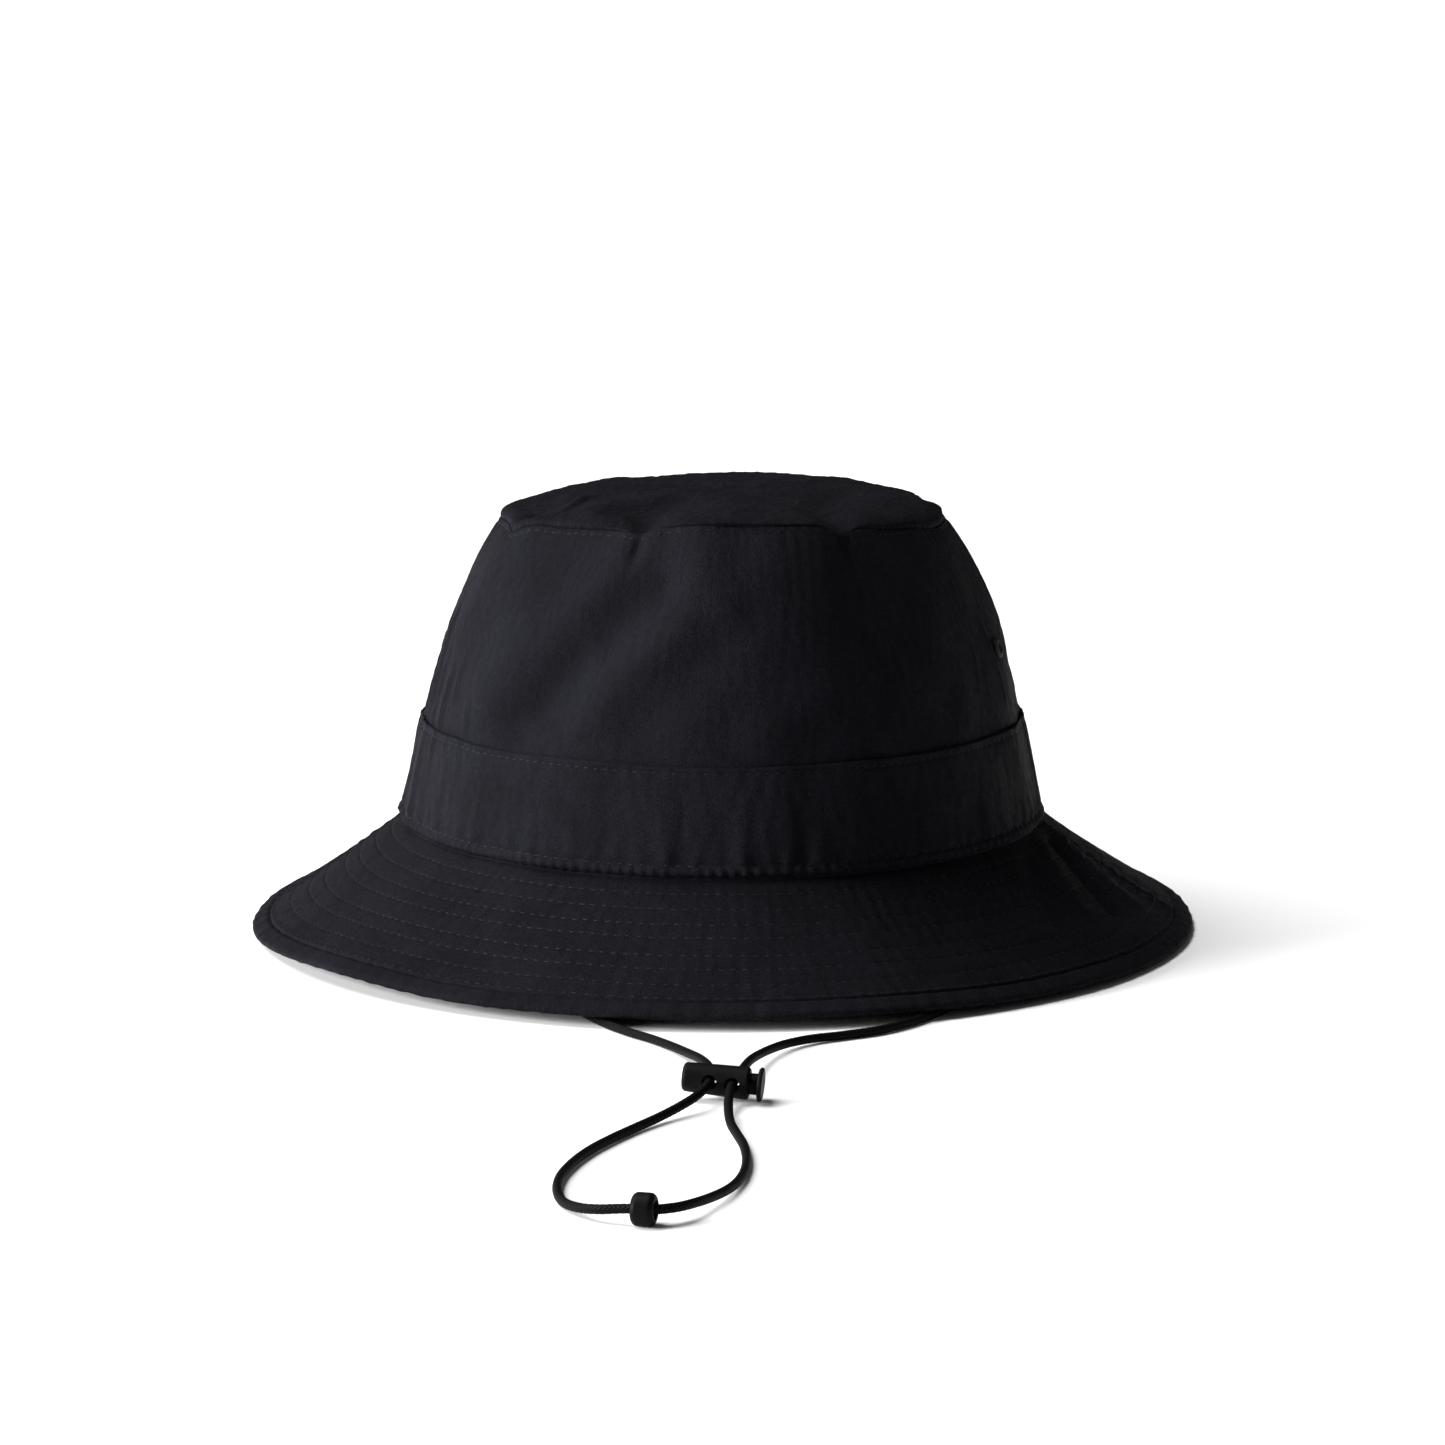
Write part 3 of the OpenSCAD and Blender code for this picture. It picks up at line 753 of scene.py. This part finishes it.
def strip(v0, v1, d0, d1, step_out, step_in=2.5):
    """Section of a strip of cloth with rounded edges: outer face, far edge, inner face, near edge."""
    half = (d1 - d0) / 2
    mid = (d0 + d1) / 2
    out = np.linspace(v0 + half, v1 - half, max(2, round((v1 - v0) / step_out)) + 1)
    back = np.linspace(v1 - half, v0 + half, max(2, round((v1 - v0) / step_in)) + 1)
    turn = np.radians((45, 90, 135))
    far = [(v1 - half + half * np.sin(a), mid - half * np.cos(a)) for a in turn]
    near = [(v0 + half - half * np.sin(a), mid + half * np.cos(a)) for a in turn]
    return np.array([(v, d0) for v in out] + far + [(v, d1) for v in back] + near)


def shell(name, point, cloth, section, span, step_deg, material, edge=None, cut=None):
    """Sweeps a section of (v, depth) around part of the hat, displaced by cloth(theta, v, depth)."""
    low, high = span
    whole = high - low >= 360
    n = max(2, round((high - low) / step_deg))
    angles = np.radians(np.linspace(low, high, n + 1)[: n if whole else n + 1])
    theta, v = np.meshgrid(angles, section[:, 0], indexing="ij")
    depth = np.broadcast_to(section[:, 1], v.shape)
    if edge is not None:
        v = edge(theta, v)
    points = point(theta, v, -cloth(theta, v, depth))
    rows, cols = v.shape
    flat = points.reshape(-1, 3)
    quads = outward(flat, grid_quads(rows, cols, wrap_rows=whole))
    if cut is not None:
        middle = flat[quads].mean(1)
        quads = quads[~cut(middle)]
    ends = []
    if not whole:
        ends = [range(cols), range((rows - 1) * cols, rows * cols)]
        if np.array_equal(quads[0], np.sort(quads[0])):
            ends = [ends[0][::-1], ends[1]]
    coords = np.stack([theta * 95, v, 0 * v], -1).reshape(-1, 3)
    return add_mesh(name, flat, quads, material, coords, ends)


def ride_hat(obj, *nodes):
    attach(obj, "hat")
    if nodes:
        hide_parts(*nodes)
    return obj


FRONT = (-179.99, -0.01)
BACK = (0.01, 179.99)
ALL_ROUND = (0, 360)

# --- Vents: a round hole with a stitched ring, two beside each side seam ---

VENT_ANGLES = (-8.5, 8.5, 171.5, 188.5)
VENT_H = 54
VENT_R = 1.45
VENT_RING_R = 3.1


def vent_frame(angle):
    """Centre of a vent on the cloth and its outward, level and upward directions."""
    theta, h = np.radians([angle]), np.array([float(VENT_H)])
    centre = wall_point(theta, h, -crown_cloth(theta, h, np.zeros(1)))[0]
    out = normals(wall_base, 1, theta, h, 0.1)[0]
    level = unit(np.cross([0, 0, 1], out))
    return centre, out, level, np.cross(out, level)


def in_vent(points):
    """Which points lie inside a vent's hole."""
    found = np.zeros(len(points), bool)
    for angle in VENT_ANGLES:
        centre, out, _, _ = vent_frame(angle)
        gap = points - centre
        deep = gap @ out
        found |= (np.linalg.norm(gap - deep[:, None] * out, axis=1) < VENT_R + 0.35) & (np.abs(deep) < 4)
    return found


def make_vents(name, angles, node):
    """Rings of close overcast stitches round the holes."""
    turn = np.linspace(0, 2 * np.pi, 144, endpoint=False)
    profile = [
        (VENT_RING_R + 0.15, 0.25), (VENT_RING_R, -0.18), (VENT_RING_R - 0.4, -0.5),
        (VENT_R + 0.75, -0.68), (VENT_R + 0.25, -0.55), (VENT_R, -0.1), (VENT_R - 0.05, 0.4),
        (VENT_R, 0.9), (VENT_R + 0.3, 1.25), (VENT_R + 1.1, 1.1),
    ]
    points, quads, coords = [], [], []
    for angle in angles:
        centre, out, level, up = vent_frame(angle)
        rows = []
        for k, (r, depth) in enumerate(profile):
            thread = 0.09 * np.abs(np.sin(turn * 18 + 0.25 * k)) - 0.03
            wobble = 1 + 0.02 * np.cos(turn * 3 + angle)
            ring = np.outer(np.cos(turn) * r * wobble, level) + np.outer(np.sin(turn) * r * wobble, up)
            rows.append(centre + ring - np.outer(depth - thread, out))
            coords.append(np.stack([turn * 6, np.full_like(turn, k), 0 * turn], -1))
        base = sum(len(p) for p in points)
        quads.append(grid_quads(len(profile), len(turn)) + base)
        points.append(np.concatenate(rows))
    obj = add_mesh(
        name, np.concatenate(points), np.concatenate(quads)[:, ::-1], THREAD, np.concatenate(coords)
    )
    return ride_hat(obj, node)


# --- Stitches: short threads that dive into the cloth at both ends ---

def stitches(name, point, cloth, rows, depth, pitch=PITCH):
    """One mesh of stitches along rows. Each row is a place v, or a function of the angle giving it."""
    sides, knots = 6, 5
    along = np.linspace(-0.5, 0.5, knots)
    thick = 0.16
    all_points, all_coords = [], []
    rng = np.random.default_rng(5)
    for row in rows:
        place = row if callable(row) else (lambda theta, v=row: np.full_like(theta, v))
        turn = np.linspace(0, np.radians(360), 400)
        line = point(turn, place(turn), np.zeros(400))
        steps = np.r_[0, np.cumsum(np.linalg.norm(np.diff(line, axis=0), axis=1))]
        count = max(1, round(steps[-1] / pitch))
        starts = (np.arange(count) + 0.5) * steps[-1] / count
        jitter = rng.uniform(-0.03, 0.03, count)
        length = 0.74 * steps[-1] / count
        where = starts[:, None] + jitter[:, None] * pitch + along[None] * length
        theta = np.interp(where, steps, turn)
        v = place(theta) + rng.uniform(-0.08, 0.08, (count, 1)) + along[None] * rng.uniform(0.05, 0.3)
        sink = 0.30 * (2 * np.abs(along)) ** 3
        level = np.full_like(theta, depth) + np.sign(0.5 - depth) * sink[None]
        middle = point(theta, v, -cloth(theta, v, level))
        heading = unit(np.gradient(middle, axis=1))
        off = unit(point(theta, v, np.ones_like(theta)) - point(theta, v, np.zeros_like(theta)))
        side = np.cross(heading, off)
        r = thick * np.array([0.55, 0.95, 1.05, 0.95, 0.55])[None, :, None, None]
        a = np.linspace(0, 2 * np.pi, sides, endpoint=False)
        across, up = np.cos(a)[None, None, :, None], np.sin(a)[None, None, :, None]
        ring = side[:, :, None] * across + off[:, :, None] * up
        all_points.append((middle[:, :, None] + r * ring).reshape(-1, 3))
        x = np.broadcast_to(where[:, :, None], (count, knots, sides))
        all_coords.append(np.stack([x * 3, np.broadcast_to(a * 0.6, x.shape), 0 * x], -1).reshape(-1, 3))
    points = np.concatenate(all_points)
    block = sides * knots
    one = grid_quads(knots, sides)
    n = len(points) // block
    quads = (one[None] + np.arange(n)[:, None, None] * block).reshape(-1, 4)
    caps = []
    for k in range(n):
        caps.append(range(k * block, k * block + sides))
        caps.append(range(k * block + block - 1, k * block + block - sides - 1, -1))
    obj = add_mesh(name, points, quads[:, ::-1], THREAD, np.concatenate(all_coords), caps)
    return ride_hat(obj)


# --- Chin cord ---

LEFT_ROUTE = [
    (-0.088, -0.016, 0.033), (-0.088, -0.017, 0.026), (-0.087, -0.02, 0.018), (-0.085, -0.024, 0.0105),
    (-0.082, -0.03, 0.0045), (-0.078, -0.038, 0.0016), (-0.073, -0.048, 0.0013), (-0.067, -0.059, 0.0013),
    (-0.06, -0.07, 0.0013), (-0.053, -0.081, 0.0013), (-0.046, -0.092, 0.0013), (-0.0395, -0.103, 0.0013),
    (-0.034, -0.114, 0.0013), (-0.0285, -0.125, 0.0013), (-0.0225, -0.136, 0.0013),
    (-0.016, -0.146, 0.0013), (-0.009, -0.1543, 0.0013), (-0.002, -0.1615, 0.0013), (0.0043, -0.17, 0.0015),
    (0.0096, -0.1805, 0.0024), (0.014, -0.192, 0.0038), (0.0173, -0.2035, 0.0051), (0.0196, -0.213, 0.0056),
    (0.0204, -0.218, 0.0057), (0.0203, -0.222, 0.0057), (0.0202, -0.226, 0.0056), (0.0193, -0.23, 0.0049),
    (0.017, -0.235, 0.0037), (0.013, -0.2415, 0.0024), (0.009, -0.2485, 0.0016), (0.0044, -0.258, 0.0013),
    (-0.0002, -0.2695, 0.0013), (-0.0041, -0.2815, 0.0013), (-0.0067, -0.2945, 0.0013),
    (-0.0077, -0.3075, 0.0013), (-0.0066, -0.3197, 0.0013), (-0.0035, -0.3304, 0.0015),
    (0.0013, -0.3377, 0.0023), (0.0063, -0.3417, 0.0032), (0.011, -0.343, 0.0038),
    (0.0143, -0.3437, 0.0041), (0.0175, -0.344, 0.0041),
]
RIGHT_ROUTE = [
    (0.088, -0.016, 0.033), (0.088, -0.0175, 0.026), (0.0885, -0.02, 0.019), (0.089, -0.024, 0.0125),
    (0.0893, -0.03, 0.007), (0.0893, -0.037, 0.0032), (0.0887, -0.046, 0.0015), (0.0875, -0.058, 0.0013),
    (0.0858, -0.071, 0.0013), (0.0837, -0.084, 0.0013), (0.081, -0.097, 0.0013), (0.0773, -0.11, 0.0013),
    (0.0723, -0.1225, 0.0013), (0.066, -0.1343, 0.0013), (0.058, -0.1445, 0.0013), (0.049, -0.1513, 0.0013),
    (0.041, -0.157, 0.0015), (0.035, -0.165, 0.0019), (0.0315, -0.175, 0.0027), (0.0292, -0.186, 0.0037),
    (0.0279, -0.197, 0.0047), (0.0272, -0.207, 0.0051), (0.0266, -0.2135, 0.0052), (0.0264, -0.218, 0.0052),
    (0.0263, -0.222, 0.0052), (0.0262, -0.226, 0.0051), (0.0261, -0.2305, 0.0044),
    (0.0264, -0.2365, 0.0032), (0.0273, -0.244, 0.002), (0.0288, -0.252, 0.0014), (0.0312, -0.261, 0.0013),
    (0.034, -0.272, 0.0013), (0.036, -0.285, 0.0013), (0.0366, -0.2975, 0.0013), (0.0358, -0.3085, 0.0015),
    (0.034, -0.3185, 0.0021), (0.0313, -0.3275, 0.0028), (0.0286, -0.3347, 0.0035),
    (0.0254, -0.3401, 0.0039), (0.0214, -0.3433, 0.0041), (0.0175, -0.344, 0.0041),
]
CORD_D = 0.0025
LOCK_POS = np.array([0.0233, -0.222, 0.00543])
SLIDE_AXIS = np.array([-0.0349, -0.99939, 0])
PRESS_AXIS = np.array([-0.99631, 0.03479, 0.07846])


def spline(route, step=0.0006):
    """A smooth line through the route's points, in even steps."""
    p = np.array(route)
    p = np.vstack([2 * p[0] - p[1], p, 2 * p[-1] - p[-2]])
    out = []
    for a, b, c, d in zip(p[:-3], p[1:-2], p[2:-1], p[3:]):
        t = np.linspace(0, 1, 24, endpoint=False)[:, None]
        out.append(0.5 * (2 * b + (c - a) * t + (2 * a - 5 * b + 4 * c - d) * t ** 2
                          + (3 * b - a - 3 * c + d) * t ** 3))
    line = np.vstack([*out, p[-2][None]])
    along = np.r_[0, np.cumsum(np.linalg.norm(np.diff(line, axis=0), axis=1))]
    even = np.linspace(0, along[-1], round(along[-1] / step) + 1)
    return np.stack([np.interp(even, along, line[:, k]) for k in range(3)], 1)


def cord_tube(name, path, node):
    """A braided tube along a path in metres."""
    sides = 20
    strands = 8
    heading = unit(np.gradient(path, axis=0))
    side = unit(np.cross(heading, [0.2, 0.1, 1.0]))
    up = np.cross(side, heading)
    a = np.linspace(0, 2 * np.pi, sides, endpoint=False)
    along = np.arange(len(path)) * 0.6
    lay = 2 * np.pi * along[:, None] / 7
    braid = np.maximum(np.cos(strands / 2 * (a[None] + lay)), np.cos(strands / 2 * (a[None] - lay)))
    r = (CORD_D / 2 - 0.00006 + 0.00005 * braid)[..., None]
    ring = side[:, None] * np.cos(a)[None, :, None] + up[:, None] * np.sin(a)[None, :, None]
    coords = np.stack(np.broadcast_arrays(a[None] * 1.25, along[:, None], 0 * lay), -1).reshape(-1, 3)
    obj = add_tube(name, (path[:, None] + r * ring) / MM, CORD, coords)
    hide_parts(node)
    return obj


def make_cord(side, route, node, lock_pieces, bead):
    """A free cord in two lengths: from its tab to the lock, and from the lock to the bead."""
    path = spline(route)
    ahead = (path - LOCK_POS) @ SLIDE_AXIS
    cut = int(np.argmax(ahead > 0))
    parts = {"rear": (path[: cut + 1], -0.105, -0.008, lock_pieces),
             "front": (path[cut:], 0.105, 0.008, [bead])}
    for part, (line, far, near, pieces) in parts.items():
        obj = cord_tube(f"cord_{side}_{part}", line, node)
        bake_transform(obj)


nodes = frame["nodes"]


def finish_node(node, material):
    obj = nodes[node]
    obj.data.materials.clear()
    obj.data.materials.append(material)
    return obj


def make_spring():
    """The coil behind the plunger, at one fixed length."""
    turns = 3
    sides = 10
    low = -8.45
    high = -6.55
    coil = 2.3
    wire = 0.24
    along = -PRESS_AXIS
    side = -SLIDE_AXIS
    t = np.linspace(0, 1, 40 * turns + 1)[:, None]
    a = 2 * np.pi * turns * t
    out = side * np.sin(a) - np.cross(along, side) * np.cos(a)
    path = LOCK_POS / MM + along * (low + (high - low) * t) + coil * out
    b = np.linspace(0, 2 * np.pi, sides, endpoint=False)
    ring = out[:, None] * np.cos(b)[None, :, None] + along * np.sin(b)[None, :, None]
    rings = path[:, None] + wire * ring
    obj = add_tube("lock_spring", rings, STEEL, rings.reshape(-1, 3))
    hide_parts("cord_lock_spring")
    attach(obj, "cord_lock")
    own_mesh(obj)
    return obj


barrel = finish_node("cord_lock_barrel", PLASTIC)
plunger = finish_node("cord_lock_plunger", PLASTIC)
bead = finish_node("cord_stop_bead", PLASTIC)
spring = make_spring()

make_cord("left", LEFT_ROUTE, "chin_cord_left", [barrel, plunger, spring], bead)
make_cord("right", RIGHT_ROUTE, "chin_cord_right", [barrel, plunger, spring], bead)


# --- Crown ---

def top_edge(theta, h):
    """Stretches the wall's heights so that its top follows the tip seam."""
    return h * seam_height(theta) / CROWN_H


def make_crown():
    section = strip(0, CROWN_H, 0, CLOTH, 1.0)
    for name, span in (("crown_front", FRONT), ("crown_back", BACK)):
        obj = shell(
            name + "_cloth", wall_point, crown_cloth, section, span, 0.62, SHELL,
            edge=top_edge, cut=in_vent,
        )
        ride_hat(obj, name)


def make_dome():
    """The tip panel, from its middle out over the rim and down inside the seam."""
    u = np.sin(np.linspace(0.02, 1, 110) * np.pi / 2)
    outer = [(a, 0.0) for a in u] + [(1.03, 0.0), (1.07, 0.0), (1.11, 0.0)]
    inner = [(1.11, 0.5), (1.0, 0.6)] + [(a, 0.7) for a in u[-3::-4]]
    section = np.array(outer + inner)
    n = 480
    angles = np.linspace(0, 2 * np.pi, n, endpoint=False)
    theta, v = np.meshgrid(angles, section[:, 0], indexing="ij")
    depth = np.broadcast_to(section[:, 1], v.shape)
    points = dome_point(theta, v, -dome_cloth(theta, v, depth))
    top = seam_height(theta)
    seam_shift = normals(wall_base, 1, theta, top, 0.1) * crown_cloth(theta, top, 0 * top)[..., None]
    points += seam_shift * smooth((v - 0.88) / 0.12)[..., None]
    rows, cols = v.shape
    flat = points.reshape(-1, 3)
    quads = grid_quads(rows, cols, wrap_rows=True, wrap_cols=False)
    rings = np.arange(rows) * cols
    caps = [rings.tolist(), (rings + cols - 1).tolist()[::-1]]
    coords = np.stack([points[..., 0], points[..., 1], 0 * v], -1).reshape(-1, 3)
    obj = add_mesh("crown_tip_cloth", flat, outward(flat, quads), TIP_SHADED, coords, caps)
    ride_hat(obj, "crown_tip")


make_crown()
make_dome()
make_vents("vent_rings_left", VENT_ANGLES[2:], "vent_eyelets_left")
make_vents("vent_rings_right", VENT_ANGLES[:2], "vent_eyelets_right")
stitches("tip_topstitch", wall_point, crown_cloth, [lambda t: seam_height(t) - SEAM_STITCH], 0.0, TIGHT_PITCH)


# --- Band ---

def band_stretch(theta, h):
    return h + band_edge(theta) * smooth((h - 20) / 10)


def make_band():
    section = strip(0.5, BAND_TOP, *BAND_DEPTHS, 0.62, 2.5)
    for name, span in (("hat_band_front", FRONT), ("hat_band_back", BACK)):
        obj = shell(
            name + "_cloth", wall_point, band_cloth, section, span, 0.55, BAND, band_stretch
        )
        ride_hat(obj, name)


make_band()
face = BAND_DEPTHS[0]
stitches("band_topstitch", wall_point, band_cloth, [lambda t: BAND_TOP_ROW + band_edge(t)], face, TIGHT_PITCH)
stitches("band_seam_stitch", wall_point, band_cloth, [BAND_LOW_ROW], face)


# --- Brim ---

def binding_section():
    """A strip folded round the edge: out along the top, round the nose and back underneath."""
    t = 0.5
    out = -0.65
    nose = BRIM_T / 2 - out
    centre = BRIM_LEN - nose
    turn = np.radians(np.arange(15, 180, 15))
    legs = np.linspace(BINDING_S + 0.25, centre, 13)
    top = [(s, out) for s in legs]
    round_out = [(centre + nose * np.sin(a), BRIM_T / 2 - nose * np.cos(a)) for a in turn]
    low = [(s, BRIM_T - out) for s in legs[::-1]]
    low_end = [(BINDING_S, BRIM_T - out - t / 2)]
    low_in = [(s, BRIM_T - out - t) for s in legs[::3]]
    inner = nose - t
    round_in = [(centre + inner * np.sin(a), BRIM_T / 2 + inner * np.cos(a)) for a in turn[::3]]
    top_in = [(s, out + t) for s in legs[::-3]]
    top_end = [(BINDING_S, out + t / 2)]
    return np.array(top + round_out + low + low_end + low_in + round_in + top_in + top_end)


def quilted(section, depth):
    """Adds points at each row of stitches to the face of a section that lies at a depth."""
    rows = np.array([*BRIM_ROWS, SEAM_ROW])
    extra = np.unique(np.round((rows[:, None] + np.array([-0.7, -0.35, 0, 0.35, 0.7])).ravel(), 2))
    face = np.flatnonzero(section[:, 1] == depth)
    kept = section[face, 0]
    kept = kept[np.abs(kept[:, None] - rows).min(1) > 0.9]
    places = np.sort(np.r_[kept, extra])
    if section[face[0], 0] > section[face[-1], 0]:
        places = places[::-1]
    line = np.stack([places, np.full_like(places, depth)], 1)
    return np.concatenate([section[: face[0]], line, section[face[-1] + 1 :]])


def make_brim():
    end = 54.1
    top = quilted(strip(-1.6, end, 0, 0.5, 1.0, 3), 0)
    under = quilted(strip(0, end, BRIM_T - 0.5, BRIM_T, 3, 1.3), BRIM_T)
    for part, span in (("front", FRONT), ("back", BACK)):
        obj = shell(f"brim_top_{part}_cloth", brim_point, brim_top_cloth, top, span, 0.5, BRIM)
        ride_hat(obj, f"brim_top_{part}")
        obj = shell(
            f"brim_under_{part}_cloth", brim_point, brim_under_cloth, under, span, 0.75, BRIM
        )
        ride_hat(obj, f"brim_under_{part}")
    obj = shell(
        "brim_interlining_felt", brim_point, brim_inner_cloth, strip(1, end, 0.75, 1.25, 1.6, 3),
        ALL_ROUND, 0.8, LINING,
    )
    ride_hat(obj, "brim_interlining")
    obj = shell(
        "brim_binding_cloth", brim_point, binding_cloth, binding_section(), ALL_ROUND, 0.5, BRIM
    )
    ride_hat(obj, "brim_edge_binding")


make_brim()
stitches("brim_rows_top", brim_point, brim_top_cloth, [*BRIM_ROWS, SEAM_ROW], 0.0)
stitches("brim_rows_under", brim_point, brim_under_cloth, [*BRIM_ROWS, SEAM_ROW], BRIM_T)


# --- Inside ---

def make_inside():
    """Tapes, sweatband, label and the cord's two tabs, each on the piece of the wall it is sewn to."""
    pieces = [
        ("tip_tape", "tip_seam_tape", (CROWN_H - 5.5, CROWN_H - 0.5, *TAPE_DEPTHS, 1.2), ALL_ROUND, 2,
         TAPE, "seam_tape"),
        ("side_tape_left", "side_seam_tape_left", (1.5, CROWN_H - 7, *TAPE_DEPTHS, 1.5), (176.8, 183.2), 0.8,
         TAPE, "seam_tape"),
        ("side_tape_right", "side_seam_tape_right", (1.5, CROWN_H - 7, *TAPE_DEPTHS, 1.5), (-3.2, 3.2), 0.8,
         TAPE, "seam_tape"),
        ("sweatband_cloth", "sweatband", (1.5, 31.5, *SWEAT_DEPTHS, 1.6, 1.0), ALL_ROUND, 1,
         TWILL, "sweatband"),
        ("label_cloth", "size_label", (7.5, 25.5, *LABEL_DEPTHS, 1.2), (83, 97), 0.7, SATIN, "label"),
        ("cord_tab_left_cloth", "cord_tab_left", (-4, 8, *TAB_DEPTHS, 0.6, 0.6), (186.4, 193.6), 0.4,
         TAPE, "seam_tape"),
        ("cord_tab_right_cloth", "cord_tab_right", (-4, 8, *TAB_DEPTHS, 0.6, 0.6), (-13.6, -6.4), 0.4,
         TAPE, "seam_tape"),
    ]
    for name, node, section, span, step, material, slot in pieces:
        cloth = sweat_cloth if node == "sweatband" else plain_wall
        ride_hat(shell(name, wall_point, cloth, strip(*section), span, step, material), node)


make_inside()


# --- Floor, light and view ---

def make_stage():
    mesh = bpy.data.meshes.new("floor")
    half = 6
    corners = [(-half, -half, 0), (half, -half, 0), (half, half, 0), (-half, half, 0)]
    mesh.from_pydata(corners, [], [(0, 1, 2, 3)])
    floor = bpy.data.objects.new("floor", mesh)
    bpy.context.collection.objects.link(floor)
    mat, _, shader = new_material("floor_paper", 0.9, 0.0)
    shader.inputs["Base Color"].default_value = (0.9, 0.9, 0.9, 1)
    mesh.materials.append(mat)


def add_lamp(name, data, direction, place=(0, 0, 0)):
    lamp = bpy.data.objects.new(name, data)
    lamp.location = place
    lamp.rotation_euler = Vector(direction).to_track_quat("-Z", "Y").to_euler()
    bpy.context.collection.objects.link(lamp)


def area_light(name, place, target, size, watts):
    data = bpy.data.lights.new(name, "AREA")
    data.shape = "RECTANGLE"
    data.size, data.size_y = size
    data.energy = watts
    add_lamp(name, data, Vector(target) - Vector(place), place)


def make_world(light, seen):
    """A dim studio whose backdrop reads white."""
    world = bpy.data.worlds.new("studio")
    bpy.context.scene.world = world
    world.use_nodes = True
    tree = world.node_tree
    back = tree.nodes["Background"]
    path = tree.nodes.new("ShaderNodeLightPath")
    strength = tree.nodes.new("ShaderNodeMix")
    strength.inputs["A"].default_value = light
    strength.inputs["B"].default_value = seen
    link(tree, path.outputs["Is Camera Ray"], strength.inputs["Factor"])
    link(tree, strength.outputs["Result"], back.inputs["Strength"])
    back.inputs["Color"].default_value = (1, 1, 1, 1)


def sky_light(name, direction, strength, spread):
    """A far, broad lamp that lights the whole floor evenly."""
    data = bpy.data.lights.new(name, "SUN")
    data.energy = strength
    data.angle = np.radians(spread)
    add_lamp(name, data, direction)


make_stage()
make_world(0.085, 1.0)
sky_light("overhead", (0.6, -0.18, -1.0), 3.9, 42)
area_light("key", (-1.95, -0.8, 0.55), (0, 0, 0.07), (0.9, 0.9), 120)
bpy.context.scene.view_settings.view_transform = "Standard"
